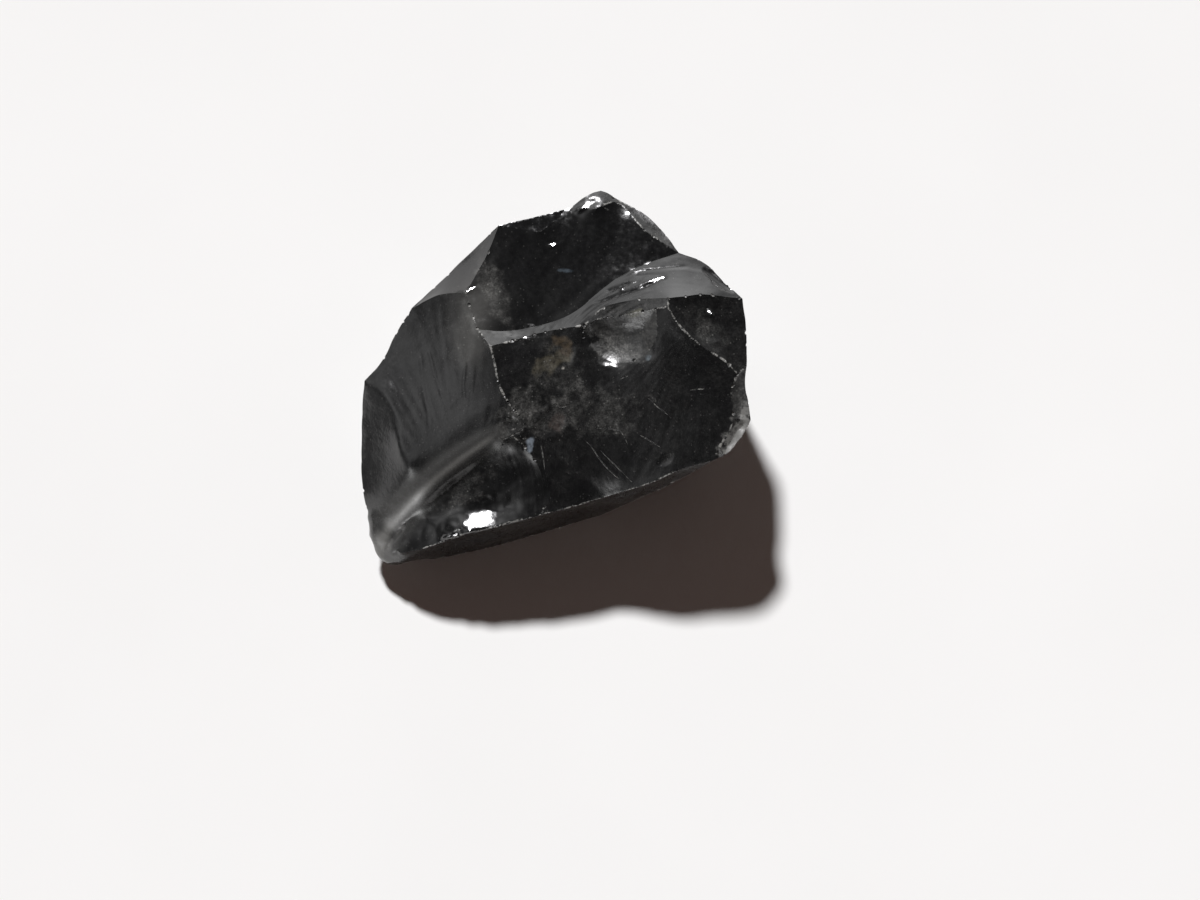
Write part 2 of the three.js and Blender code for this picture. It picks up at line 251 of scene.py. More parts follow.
def solid_copy(node):
    """The corner points, in mm, and the triangles of a node, with coincident points merged."""
    solid = bmesh.new()
    solid.from_mesh(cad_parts[node].data)
    bmesh.ops.remove_doubles(solid, verts=solid.verts, dist=0.001 * MM)
    bmesh.ops.triangulate(solid, faces=solid.faces)
    points = np.array([v.co for v in solid.verts]) / MM
    triangles = np.array([[v.index for v in f.verts] for f in solid.faces])
    solid.free()
    return points, triangles


points, triangles = solid_copy("spinel_crystal")
print("points and triangles in the solid:", len(points), len(triangles))


# %% Edges of a triangle mesh
def face_normals(points, triangles):
    a, b, c = (points[triangles[:, k]] for k in range(3))
    n = np.cross(b - a, c - a)
    return n / np.maximum(np.linalg.norm(n, axis=1, keepdims=True), 1e-12)


def edges_of(triangles):
    """Every edge once, the edge numbers of each triangle, and the two triangles beside each edge."""
    ends = np.sort(triangles[:, [[0, 1], [1, 2], [2, 0]]].reshape(-1, 2), axis=1)
    edges, number = np.unique(ends, axis=0, return_inverse=True)
    number = number.reshape(-1)
    order = np.argsort(number, kind="stable")
    beside = (order // 3).reshape(-1, 2)
    return edges, number.reshape(-1, 3), beside


def turns(points, triangles, beside):
    """How far the surface turns across each edge, in radians."""
    n = face_normals(points, triangles)
    cosine = np.einsum("ij,ij->i", n[beside[:, 0]], n[beside[:, 1]])
    return np.arccos(np.clip(cosine, -1, 1))


edges, _, beside = edges_of(triangles)
ridge = turns(points, triangles, beside) > RIDGE_ANGLE
print("ridge edges:", int(ridge.sum()), "of", len(edges))


# %% Loop subdivision that keeps ridges
def loop_subdivide(points, triangles, ridge):
    edges, of_triangle, beside = edges_of(triangles)
    count = len(points)

    # new points on the edges
    opposite = triangles[beside].sum(axis=2) - edges.sum(axis=1)[:, None]
    ends = points[edges].sum(axis=1)
    wings = points[opposite].sum(axis=1)
    on_edges = np.where(ridge[:, None], ends / 2, ends * 3 / 8 + wings / 8)

    # old points, eased towards their neighbours
    degree = np.zeros(count)
    around = np.zeros((count, 3))
    ridges_here = np.zeros(count)
    along = np.zeros((count, 3))
    for a, b in ((0, 1), (1, 0)):
        np.add.at(degree, edges[:, a], 1)
        np.add.at(around, edges[:, a], points[edges[:, b]])
        np.add.at(ridges_here, edges[:, a], ridge)
        np.add.at(along, edges[:, a], points[edges[:, b]] * ridge[:, None])
    pull = np.where(degree == 3, 3 / 16, 3 / (8 * degree))[:, None]
    smooth = points * (1 - degree[:, None] * pull) + around * pull
    on_ridge = points * 3 / 4 + along / 8
    kept = np.where((ridges_here == 2)[:, None], on_ridge, points)
    moved = np.where((ridges_here < 2)[:, None], smooth, kept)

    # four triangles for each old one
    m = of_triangle + count
    a, b, c = triangles.T
    finer = np.concatenate(
        [
            np.stack([a, m[:, 0], m[:, 2]], 1),
            np.stack([b, m[:, 1], m[:, 0]], 1),
            np.stack([c, m[:, 2], m[:, 1]], 1),
            m,
        ]
    )
    split_at = np.flatnonzero(ridge) + count
    half_ridges = np.concatenate([np.stack([edges[ridge, k], split_at], 1) for k in (0, 1)])
    finer_edges = edges_of(finer)[0]
    known = {tuple(e) for e in np.sort(half_ridges, axis=1).tolist()}
    finer_ridge = np.array([tuple(e) in known for e in finer_edges.tolist()])
    return np.concatenate([moved, on_edges]), finer, finer_ridge


print("triangles that one split makes:", len(loop_subdivide(points, triangles, ridge)[1]))

# %% [markdown]
# ## Scars
#
# The scars on top get names, each from one place on it, as seen from above. From there a scar spreads over
# the flattest edges first, so its borders come to lie on the ridges. Each triangle holds the number of its
# scar, and hands it down when it is split.

# %% Name the scars
PLACES = {
    "left": (-5.7, -0.4),
    "shelf": (-9.25, -3.5),
    "shoulder": (-4.2, 5.05),
    "back bevel": (-1.3, 8.0),
    "crest": (1.6, 8.0),
    "basin": (-0.7, 4.3),
    "brim": (-1.2, 2.0),
    "swoosh": (6.8, 3.9),
    "brow": (4.6, 2.6),
    "plateau": (2.3, -3.7),
    "shell": (3.2, 0.9),
    "right": (7.8, 1.4),
    "flake": (9.4, -1.8),
    "chip": (9.3, -4.0),
    "pocket": (-3.7, -6.3),
    "lip": (-5.7, -5.1),
}
WALL_ANGLE = math.radians(28)
WEAK_RIDGE = math.radians(5)
FACING_UP = (0.15, 0.35)  # the upward part of the normal, where a wall ends and where the top begins


print("named scars:", len(PLACES))


# %% Spread each name over its scar
def join_scars(seeds):
    """Joins triangles across the flattest edges first, but never two scars that have names."""
    turn = turns(points, triangles, beside)
    leader = list(range(len(triangles)))

    def first(t):
        while leader[t] != t:
            leader[t] = leader[leader[t]]
            t = leader[t]
        return t

    for edge in np.argsort(turn, kind="stable"):
        if turn[edge] > WALL_ANGLE:
            break
        a, b = (first(t) for t in beside[edge])
        if b in seeds:
            a, b = b, a
        if b not in seeds:
            leader[b] = a
    return np.array([first(t) for t in range(len(triangles))])


def triangle_at(x, y):
    centre = points[triangles].mean(axis=1)
    gap = np.hypot(centre[:, 0] - x, centre[:, 1] - y)
    return int(np.where(face_normals(points, triangles)[:, 2] > FACING_UP[0], gap, np.inf).argmin())


scar = {name: triangle_at(*place) for name, place in PLACES.items()}
patch = join_scars(set(scar.values()))
ridge |= (patch[beside[:, 0]] != patch[beside[:, 1]]) & (turns(points, triangles, beside) > WEAK_RIDGE)
print("triangles in each scar:", {name: int((patch == number).sum()) for name, number in scar.items()})
print("ridge edges:", int(ridge.sum()))


# %% Measures used again and again
def smoothstep(low, high, value):
    t = np.clip((value - low) / (high - low), 0, 1)
    return t * t * (3 - 2 * t)


def hill(value, up, down):
    """0, then 1, then 0 again: it rises between the first pair of values and falls between the second."""
    return smoothstep(*up, value) * (1 - smoothstep(*down, value))


def along_path(points, path):
    """Seen from above: how far each point is from a path, and how far along it, 0 to 1.

    The distance is less than 0 on the path's left.
    """
    knots = np.array(path, float)
    start, leg = knots[:-1], np.diff(knots, axis=0)
    to = points[:, None, :2] - start
    share = np.clip((to * leg).sum(-1) / (leg**2).sum(-1), 0, 1)
    gap = to - share[..., None] * leg
    far = np.hypot(gap[..., 0], gap[..., 1])
    nearest = far.argmin(axis=1)
    row = np.arange(len(points))
    aside = gap[row, nearest]
    side = np.sign(aside[:, 0] * leg[nearest, 1] - aside[:, 1] * leg[nearest, 0])
    return far[row, nearest] * side, (nearest + share[row, nearest]) / len(leg)


def curve_through(path, steps=6):
    """Points on a smooth curve through the knots of a path."""
    knots = np.array([path[0], *path, path[-1]], float)
    dense = []
    for a, b, c, d in zip(knots, knots[1:], knots[2:], knots[3:]):
        for t in np.arange(steps) / steps:
            dense.append(b + 0.5 * t * (c - a + t * (2 * a - 5 * b + 4 * c - d + t * (3 * (b - c) + d - a))))
    return [*dense, knots[-1]]


def oval(points, x, y, half_long, half_wide, turned):
    """Seen from above: 0 at the middle of an oval, 1 on its rim; turned is in degrees."""
    c, s = math.cos(math.radians(turned)), math.sin(math.radians(turned))
    dx, dy = points[:, 0] - x, points[:, 1] - y
    return np.hypot((dx * c + dy * s) / half_long, (dy * c - dx * s) / half_wide)


def within(points, place, full, none, ragged=0.0):
    """1 in the middle of an oval, falling to 0 between two distances, in which its rim is 1."""
    return 1 - smoothstep(full, none, oval(points, *place) + ragged)


def swell(points, size, seed):
    """Smooth noise, between -1 and 1, with hills about as wide as the size given in mm."""
    shift = Vector((seed * 17.3, seed * 5.1, seed * 9.7))
    return np.array([noise.noise(Vector(p) / size + shift) for p in points])


print("the swell runs from", [round(float(f(swell(points, 1.0, seed=0))), 2) for f in (np.min, np.max)])

# %% The crest of the lip, worn round
# The lip runs from the nose, at the front left, up to the hub where four scars meet. Its crest is rubbed
# smooth, so the ridges along it are no ridges any more.
LIP_WAY = [  # from the nose to the hub, with the height
    (-9.35, -8.95, 1.00),
    (-8.95, -8.05, 2.30),
    (-8.42, -7.32, 3.24),
    (-7.72, -6.70, 4.24),
    (-6.76, -5.95, 5.42),
    (-5.73, -5.16, 6.22),
    (-4.63, -4.40, 6.70),
    (-3.59, -3.75, 7.08),
    (-2.75, -3.25, 7.38),
]
lip_crest = np.array(curve_through(LIP_WAY))
REACH_AT_NOSE, REACH_AT_HUB = 1.9, 0.6
POCKET_BORDER = 1.1  # how far from the crest the pocket's own ridge begins
FOOT = 0.25  # below this height the foot keeps its shape


def on_lip(points):
    """1 on the worn crest, falling to 0 at its reach."""
    far, along = along_path(points, lip_crest[:, :2])
    reach = REACH_AT_NOSE + (REACH_AT_HUB - REACH_AT_NOSE) * along
    return 1 - smoothstep(0.5, 1.0, np.abs(far) / reach)


def above_foot(points):
    """0 on the foot, rising to 1 a little above it."""
    return smoothstep(FOOT, 3 * FOOT, points[:, 2])


middle = points[edges].mean(axis=1)
by_pocket = (patch[beside] == scar["pocket"]).any(axis=1)
by_both = np.isin(patch[beside], [scar["left"], scar["shelf"]]).all(axis=1)
below_crest = along_path(middle, lip_crest[:, :2])[0] > POCKET_BORDER
rubbed_off = ridge & ((on_lip(middle) > 0) & ~(by_pocket & below_crest) & (middle[:, 2] > FOOT) | by_both)
ridge &= ~rubbed_off
print("ridge edges rubbed off:", int(rubbed_off.sum()))

# %% [markdown]
# ## Splitting and fairing
#
# The splitting leaves faint lumps where the coarse triangles were uneven, and a mirror shows them all. Each
# pass moves every point a little towards the mean of its neighbours and then almost as far back, which
# wears the lumps away but keeps the broad hollows. Points on a ridge stay where they are. On the lip the
# second step is left out, so the crest wears round, and what it lost in bulk is given back evenly.

# %% Split and fair
FAIRING_PASSES = (14, 30)  # after the first and the second split
FORWARD, BACKWARD = 0.5, -0.52


def neighbour_mean(values, edges):
    total = np.zeros_like(values)
    for k in range(values.shape[1]):
        for a, b in ((0, 1), (1, 0)):
            total[:, k] += np.bincount(edges[:, a], values[edges[:, b], k], len(values))
    return total / np.bincount(edges.reshape(-1), minlength=len(values))[:, None]


def eased(points, edges, share, passes=1):
    """The points, each moved in every pass by its share of the way to the mean of its neighbours."""
    for _ in range(passes):
        points = points + share[:, None] * (neighbour_mean(points, edges) - points)
    return points


for passes in FAIRING_PASSES:
    points, triangles, ridge = loop_subdivide(points, triangles, ridge)
    patch = np.tile(patch, 4)
    edges, _, beside = edges_of(triangles)
    on_ridge = np.zeros(len(points), bool)
    on_ridge[edges[ridge]] = True
    worn_round = on_lip(points) * above_foot(points)
    before = points
    for _ in range(passes):
        points = eased(points, edges, FORWARD * ~on_ridge)
        points = eased(points, edges, BACKWARD * (1 - worn_round) * ~on_ridge)
    lost = before - points
    for _ in range(passes):
        lost = neighbour_mean(lost, edges)
    points = points + lost * ~on_ridge[:, None]
    print("triangles:", len(triangles), "points:", len(points), "on ridges:", int(on_ridge.sum()))


# %% Normals, scars and distance from the ridges
def distance_to(targets, points):
    """How far each point is from the nearest target, and which target that is."""
    tree = kdtree.KDTree(len(targets))
    for index, target in enumerate(targets):
        tree.insert(target, index)
    tree.balance()
    found = [tree.find(p) for p in points]
    return np.array([f[2] for f in found]), np.array([f[1] for f in found])


def point_normals(points, triangles):
    n = np.zeros_like(points)
    flat = face_normals(points, triangles)
    for k in range(3):
        for axis in range(3):
            n[:, axis] += np.bincount(triangles[:, k], flat[:, axis], len(points))
    return n / np.maximum(np.linalg.norm(n, axis=1, keepdims=True), 1e-12)


from_ridge = distance_to(points[on_ridge], points)[0]
scar_of = np.zeros(len(points), int)
scar_of[triangles.reshape(-1)] = np.repeat(patch, 3)
normals = point_normals(points, triangles)
facing_up = smoothstep(*FACING_UP, normals[:, 2])
print("farthest point from a ridge, mm:", round(float(from_ridge.max()), 2))

# %% [markdown]
# ## Relief
#
# Glass that breaks leaves three kinds of mark. The crack front ripples as it slows, in arcs about the place
# it started from. It tears into fine hackles, which run outward like spokes. And the whole face undulates
# gently. All three are the same noise, stretched: along the arcs for ripples, along the spokes for hackles,
# and not at all for the swell. Every mark fades out before it reaches a ridge, so the ridges stay sharp.
# A bump in the material would be less work, but a mirror shows the difference, so the points are moved.


# %% Ripples and hackles
def marks(points, origin, width, length, seed, spokes):
    """Noise drawn out round the origin, or along spokes from it; width and length are in mm."""
    x, y = points[:, 0] - origin[0], points[:, 1] - origin[1]
    radius = np.hypot(x, y)
    round_it = np.arctan2(y, x) * radius.mean()
    along, across = (radius, round_it) if spokes else (round_it, radius)
    return np.array([noise.noise(Vector((u, v, seed * 7.7))) for u, v in zip(along / length, across / width)])


RIPPLES, HACKLES = False, True
SWELL_SIZE, SWELL_HEIGHT = 1.7, 0.035
GRAIN_SIZE, GRAIN_HEIGHT = 0.42, 0.006
WORN_CALM = 0.8  # the share of its relief that the worn crest has lost
CALM_SCARS, CALM_SHARE = ("back bevel", "shoulder", "crest"), 0.35  # the share of theirs that these keep
MARKS_START = (0.0, 0.35)  # mm from a ridge, where the marks begin and where they are full
MARKS = [  # scar, where the crack came from, mark width, length and height in mm, kind
    ("left", (-4.2, -7.5), 0.26, 3.4, 0.014, HACKLES),
    ("left", (-12.0, 9.0), 0.80, 4.0, 0.016, RIPPLES),
    ("shelf", (-6.0, 6.0), 0.45, 2.0, 0.008, RIPPLES),
    ("basin", (-5.0, 9.5), 0.60, 3.0, 0.022, RIPPLES),
    ("basin", (-5.0, 9.5), 0.25, 1.6, 0.006, HACKLES),
    ("swoosh", (6.0, -2.6), 0.16, 5.0, 0.006, RIPPLES),
    ("swoosh", (6.0, -2.6), 0.55, 6.0, 0.014, RIPPLES),
    ("brow", (6.0, -2.6), 0.20, 2.0, 0.012, RIPPLES),
    ("plateau", (8.0, 3.0), 0.70, 3.0, 0.030, RIPPLES),
    ("plateau", (8.0, 3.0), 0.26, 1.4, 0.008, HACKLES),
    ("shell", (4.5, 3.4), 0.30, 1.8, 0.010, RIPPLES),
    ("right", (9.5, 4.2), 0.45, 1.4, 0.030, RIPPLES),
    ("pocket", (-1.0, -7.6), 0.40, 2.4, 0.016, RIPPLES),
    ("pocket", (-7.2, -6.6), 0.16, 1.1, 0.006, RIPPLES),
    ("brim", (-1.2, 9.0), 0.22, 0.9, 0.020, RIPPLES),
]

height = SWELL_HEIGHT * swell(points, SWELL_SIZE, seed=1) + GRAIN_HEIGHT * swell(points, GRAIN_SIZE, seed=2)
for seed, (name, origin, width, length, tall, kind) in enumerate(MARKS):
    here = np.flatnonzero(scar_of == scar[name])
    height[here] += tall * marks(points[here], origin, width, length, seed, kind)
height *= smoothstep(*MARKS_START, from_ridge) * (1 - WORN_CALM * worn_round)
height[np.isin(scar_of, [scar[name] for name in CALM_SCARS])] *= CALM_SHARE
print("ripples, hackles and swell, mm:", [round(float(f(height)), 3) for f in (np.min, np.max)])

# %% Walls and streaks
# The walls undulate more broadly, and tore into faint steps that climb them.
WALL_SIZE, WALL_HEIGHT, WALL_START = 2.6, 0.30, (0.1, 1.3)
STEP_SIZE, STEP_HEIGHT, STEP_START = 0.9, 0.045, (0.0, 0.6)
CLIMBING = (2.2, 2.2, 0.8)  # squeezes the noise sideways and draws it out upwards
walls = (1 - facing_up) * (scar_of != scar["back bevel"])
waves = swell(points, WALL_SIZE, seed=11)
height += WALL_HEIGHT * waves * walls * smoothstep(*WALL_START, from_ridge)
steps = swell(points * CLIMBING, STEP_SIZE, seed=12)
height += STEP_HEIGHT * steps * walls * smoothstep(*STEP_START, from_ridge)

# Where the crack of the swoosh bent upwards it tore into long steps, strong at the left end.
STREAKS = ((6.0, -2.6), 0.19, 7.0)  # where the crack came from, mark width and length in mm
STREAK_HEIGHT, STREAK_START = 0.050, (0.0, 0.15)
TORN_PLACE = (2.9, 2.9, 3.0, 1.4, 38)  # middle, half length, half width, turned
here = np.flatnonzero((scar_of == scar["swoosh"]) | (scar_of == scar["brow"]))
torn = marks(points[here], *STREAKS, 31, RIPPLES) * within(points[here], TORN_PLACE, 0.7, 1.1)
height[here] += STREAK_HEIGHT * torn * smoothstep(*STREAK_START, from_ridge[here])
print("points on the walls:", int((walls > 0.5).sum()), "points with streaks:", int((torn != 0).sum()))

# %% Hairlines and bowls
HAIRLINES = [  # depth and half width in mm, then the way it runs; a negative depth stands up
    (0.018, 0.07, [(-6.35, 1.15), (-6.20, 0.63), (-6.09, 0.11), (-5.83, -0.67), (-5.47, -1.86)]),
    (0.020, 0.07, [(-4.40, 0.42), (-4.50, -0.31), (-4.56, -0.80), (-4.45, -1.79)]),
    (0.014, 0.07, [(-3.99, 0.12), (-4.05, -0.60), (-4.10, -1.33)]),
    (0.014, 0.08, [(-6.77, 1.20), (-6.66, -0.09), (-6.50, -1.38), (-6.23, -2.90), (-5.72, -4.19)]),
    (0.055, 0.08, [(1.83, 2.88), (2.93, 3.18), (4.33, 3.56), (5.33, 4.01), (5.73, 4.11)]),
    (0.050, 0.08, [(2.58, 3.51), (3.23, 3.72), (3.93, 4.00)]),
    (0.020, 0.07, [(3.93, 4.34), (4.83, 4.28), (5.73, 4.23)]),
    (0.020, 0.07, [(4.09, 4.56), (5.33, 4.60), (6.83, 4.74)]),
    (-0.020, 0.10, [(-6.80, -6.70), (-6.30, -7.05), (-5.80, -7.15)]),
    (-0.018, 0.10, [(-6.50, -6.95), (-6.00, -7.35), (-5.45, -7.45)]),
]
LINE_END = 0.12  # the share of its way over which a hairline fades in, and out again
for depth, half_wide, path in HAIRLINES:
    far, along = along_path(points, path)
    fade = smoothstep(0, LINE_END, along) * smoothstep(0, LINE_END, 1 - along)
    height -= depth * np.exp(-((far / half_wide) ** 2)) * fade * facing_up

# Bowls are where flakes were struck out of a face.
BOWLS = [  # middle, half length, half width, turned, depth, steepness of the rim
    (3.35, 0.90, 1.95, 1.10, -10, 0.10, 5.0),
    (-0.10, -2.75, 0.95, 0.60, 30, 0.07, 2.6),
    (0.25, 0.40, 0.90, 0.70, 20, 0.05, 2.6),
    (-2.10, -3.00, 0.80, 0.45, 20, 0.07, 2.6),
    (7.60, 1.50, 0.90, 0.55, -50, 0.07, 2.6),
    (5.60, -4.80, 0.50, 0.25, 30, 0.06, 2.6),
    (-1.20, 1.55, 1.20, 0.28, -3, 0.05, 2.6),
    (8.30, 3.90, 1.00, 0.30, -45, 0.12, 2.6),
    (9.20, -3.90, 0.80, 0.45, 62, 0.08, 2.6),
]
ragged_rim = 0.25 * swell(points, 0.6, seed=4)
for *place, depth, steepness in BOWLS:
    away = oval(points, *place) + ragged_rim
    height -= depth * np.clip(1 - np.abs(away) ** steepness, 0, 1) * facing_up
print("hairlines:", len(HAIRLINES), "bowls:", len(BOWLS))

# %% Broken places
# In some places the crack broke up into small steps.
BROKEN = [  # middle, half length, half width, turned, height
    (-1.30, 1.70, 2.6, 0.40, -3, 0.024),
    (-1.90, -2.90, 1.3, 0.8, 25, 0.035),
    (-0.20, -2.60, 1.3, 0.9, 30, 0.040),
    (0.30, 0.40, 1.1, 0.8, 20, 0.025),
    (-3.20, -4.30, 1.0, 0.40, 35, 0.015),
    (9.20, -3.70, 1.2, 0.5, 58, 0.030),
]
steps = swell(points, 0.30, seed=11) + 0.5 * swell(points, 0.15, seed=12)
for *place, tall in BROKEN:
    height += tall * steps * within(points, place, 0.5, 1.1) * facing_up

height *= above_foot(points)
points = points + height[:, None] * normals
print("relief from", round(float(height.min()), 3), "to", round(float(height.max()), 3), "mm")

# %% The roll of the lip
# Across the lip the crest rolls over in an even arc, and where the arc ends it drops into the pocket.
# Distances are from the crest, in mm, and are less than 0 on its left.
ROLL_START, ROLL_BEND = -0.46, 0.475
ROLL_UP, ROLL_DOWN = (-1.5, -0.6), (0.50, 0.68)  # where the arc takes over, and where it lets go
POCKET_RISE, RISE_REACH = 0.30, 0.9  # how much the pocket's floor climbs towards the lip, and how near to it
POCKET_WALL, POCKET_WALL_PASSES = ((0.40, 0.50), (0.75, 1.0)), 12
LEFT_SIDE, LEFT_SIDE_PASSES = ((-2.6, -1.6), (-0.3, 0.1)), 24
FROM_NOSE, FROM_HUB = (0, 0.12), (0, 0.2)  # shares of the lip, over which all this starts
far, along = along_path(points, lip_crest[:, :2])
crest_height = np.interp(along, np.linspace(0, 1, len(lip_crest)), lip_crest[:, 2])
bend = ROLL_BEND * smoothstep(0.05, 0.35, along)  # the nose is flatter across
rolled = crest_height - bend * np.maximum(far - ROLL_START, 0) ** 2
ends = smoothstep(*FROM_NOSE, along) * smoothstep(*FROM_HUB, 1 - along) * facing_up

rise = POCKET_RISE * np.exp(-((far / RISE_REACH) ** 2)) * (far > 0)
rise = rise * smoothstep(0.05, 0.3, along) * (1 - smoothstep(0.4, 0.65, along)) * ends
points[:, 2] += rise
share = hill(far, ROLL_UP, ROLL_DOWN) * ends
moved = share * (rolled - points[:, 2])
points[:, 2] += moved
print("the crest of the lip moved by at most, mm:", round(float(np.abs(moved).max()), 2))

on_pocket_wall = hill(far, *POCKET_WALL) * smoothstep(*FROM_NOSE, along) * facing_up
points = eased(points, edges, 0.5 * on_pocket_wall, POCKET_WALL_PASSES)
on_left_side = hill(far, *LEFT_SIDE)
points = eased(points, edges, 0.5 * on_left_side * ends, LEFT_SIDE_PASSES)

# %% The nose
# The nose is fuller than its corners, all round its outline, and smooth below the lip.
NOSE_OUTLINE = [(-9.80, -6.20), (-9.60, -7.10), (-9.10, -7.95), (-8.40, -8.40), (-7.70, -8.50)]
NOSE_REACH, NOSE_SWELLING = 1.3, 0.22
NOSE_PASSES = 30
far, along = along_path(points, NOSE_OUTLINE)
near_nose = (1 - smoothstep(0.3, 1.0, np.abs(far) / NOSE_REACH)) * (1 - smoothstep(2.5, 3.5, points[:, 2]))
near_nose *= smoothstep(0, 0.15, along) * smoothstep(0, 0.2, 1 - along) * above_foot(points)
points += (NOSE_SWELLING * near_nose)[:, None] * normals
below_lip = (1 - smoothstep(0.6, 1.1, np.abs(far) / NOSE_REACH)) * (1 - smoothstep(1.8, 2.9, points[:, 2]))
below_lip *= above_foot(points)
points = eased(points, edges, 0.5 * below_lip, NOSE_PASSES)
print("points of the nose:", int((near_nose > 0).sum()))

# %% [markdown]
# ## Flats that flash
#
# A black mirror flashes only where it faces halfway between the eye and the lamp. The stone has a few small
# flats that do: each is a patch of the surface pressed onto a plane that faces that way. Its rim is then
# smoothed, so that it runs into the scar around it without a step.

# %% Flats
halfway = (to_eye + towards(*LAMP)).normalized()
FIRMNESS = 0.95
FLAT_REACH = (0.7, 1.1)  # a flat leaves alone what is this much higher or lower than its middle, in mm
RIM_WIDTH, RIM_PASSES = 0.3, 5
FLATS = [  # middle, half length, half width, turned, where it has faded out, if its rim is 1
    (-3.78, -7.34, 1.15, 0.64, 20, 2.0),
    (-5.10, -8.03, 0.50, 0.12, 17, 1.3),
    (1.70, 8.05, 0.78, 0.20, 27, 1.1),
    (7.75, 2.30, 0.34, 0.16, -50, 1.1),
    (3.55, 3.62, 0.42, 0.09, 30, 1.1),
    (4.05, 3.90, 0.42, 0.10, 30, 1.1),
    (-4.15, 3.98, 0.50, 0.12, 35, 1.1),
    (-0.10, 6.12, 0.40, 0.17, 5, 1.1),
]


def press_flat(points, x, y, half_long, half_wide, turned, faded):
    """The points, with an oval patch of them pressed towards a plane that faces halfway."""
    away = oval(points, x, y, half_long, half_wide, turned) + 0.25 * swell(points, 0.3, seed=3)
    inside = (away < 1) & (facing_up > 0.5)
    level = np.median(points[inside, 2])
    here = facing_up * (1 - smoothstep(*FLAT_REACH, np.abs(points[:, 2] - level)))
    press = FIRMNESS * (1 - smoothstep(0.55, faded, away)) * here
    plane = level - (halfway.x * (points[:, 0] - x) + halfway.y * (points[:, 1] - y)) / halfway.z
    pressed = points.copy()
    pressed[:, 2] += press * (plane - points[:, 2])
    rim = hill(away, (0.6, 0.9), (faded, faded + RIM_WIDTH)) * here
    return eased(pressed, edges, 0.5 * rim, RIM_PASSES)


for flat in FLATS:
    points = press_flat(points, *flat)
print("flats:", len(FLATS), "facing", [round(v, 3) for v in halfway])

# %% Keep inside the solid's box
box_low, box_high = (np.array(side) / MM for side in (low, high))
outside = (points < box_low).any(axis=1) | (points > box_high).any(axis=1)
points = np.clip(points, box_low, box_high)
print("points brought back into the box:", int(outside.sum()))


# %% Stone as a mesh object
def mesh_object(name, points, triangles, edges=()):
    mesh = bpy.data.meshes.new(name)
    mesh.from_pydata((np.asarray(points) * MM).tolist(), list(edges), [list(t) for t in triangles])
    mesh.update()
    thing = bpy.data.objects.new(name, mesh)
    bpy.context.scene.collection.objects.link(thing)
    return thing


stone = mesh_object("spinel_crystal_surface", points, triangles.tolist())
normals = point_normals(points, triangles)
print("triangles before the nicks:", len(stone.data.polygons))

# %% [markdown]
# ## Nicks and scratches
#
# A glassy ridge doesn't wear smooth, it nibbles: tiny flakes break off along it, each with a crushed, pale
# floor. Geometry Nodes scatter small angular grains along the ridges, and the grains are cut out of the
# stone. The few scratches are cut the same way, by a thin rod laid along each. Pale spots in the material
# would do from afar, but a cut has walls and a floor that catch the light one by one.


# %% How much each stretch of ridge has been rubbed
def convex(edges, beside):
    """True for the edges that stand proud of the surface."""
    n = face_normals(points, triangles)[beside[:, 0]]
    other = points[triangles[beside[:, 1]]].mean(axis=1)
    return np.einsum("ij,ij->i", n, other - points[edges[:, 0]]) < 0


RUBBED = [  # the ridges that show as pale beaded lines
    [(-3.79, 2.23), (-2.68, 1.35), (-1.67, 0.95), (-0.42, 1.26), (0.33, 1.73)],
    [(0.33, 1.73), (2.33, 2.11), (4.32, 2.27), (5.41, 2.41)],
    [(5.71, 2.38), (6.31, 1.66), (7.05, 0.77), (7.80, 0.31), (8.55, -0.25), (9.20, -0.84)],
    [(-3.50, 1.90), (-3.20, 0.60), (-2.90, -0.80), (-2.10, -2.40), (-1.60, -3.30)],
    [(-6.40, -8.30), (-4.99, -8.05), (-3.06, -7.67), (-1.60, -7.20)],
    [(-1.60, -7.20), (0.50, -6.90), (3.00, -6.30), (6.00, -5.60)],
    [(2.80, 8.30), (4.00, 7.60), (5.00, 6.20)],
    [(8.30, -4.22), (8.80, -3.60), (9.55, -2.91)],
]
LEAST_RUBBED = 0.15  # how rubbed the other ridges are
RUB_REACH = (0.25, 0.6)  # mm from one of these ways: full rubbing up to the first, least past the second
ridge_points = np.unique(edges[ridge & convex(edges, beside)])
ridge_points = ridge_points[on_lip(points[ridge_points]) < 0.2]
from_way = np.min([np.abs(along_path(points[ridge_points], path)[0]) for path in RUBBED], axis=0)
rubbed = LEAST_RUBBED + (1 - LEAST_RUBBED) * (1 - smoothstep(*RUB_REACH, from_way))
rubbed *= smoothstep(0.1, 0.5, points[ridge_points, 2])
rubbed *= np.clip(0.75 + 1.6 * swell(points[ridge_points], 0.7, seed=6), 0, 1)
print("ridge points:", len(ridge_points), "well rubbed:", int((rubbed > 0.5).sum()))


# %% Helpers for trees of Geometry Nodes
def set_inputs(modifier, values):
    """Gives a Geometry Nodes modifier its inputs, by the sockets' identifiers."""
    for item in modifier.node_group.interface.items_tree:
        if item.item_type == "SOCKET" and item.in_out == "INPUT" and item.name in values:
            modifier[item.identifier] = values[item.name]


def new_tree(name, inputs):
    """An empty Geometry Nodes tree with named inputs, its input node and its output node."""
    tree = bpy.data.node_groups.new(name, "GeometryNodeTree")
    tree.interface.new_socket("Geometry", in_out="INPUT", socket_type="NodeSocketGeometry")
    for label, kind in inputs.items():
        tree.interface.new_socket(label, in_out="INPUT", socket_type="NodeSocket" + kind)
    tree.interface.new_socket("Geometry", in_out="OUTPUT", socket_type="NodeSocketGeometry")
    return tree, add_node(tree, "NodeGroupInput").outputs, add_node(tree, "NodeGroupOutput").inputs


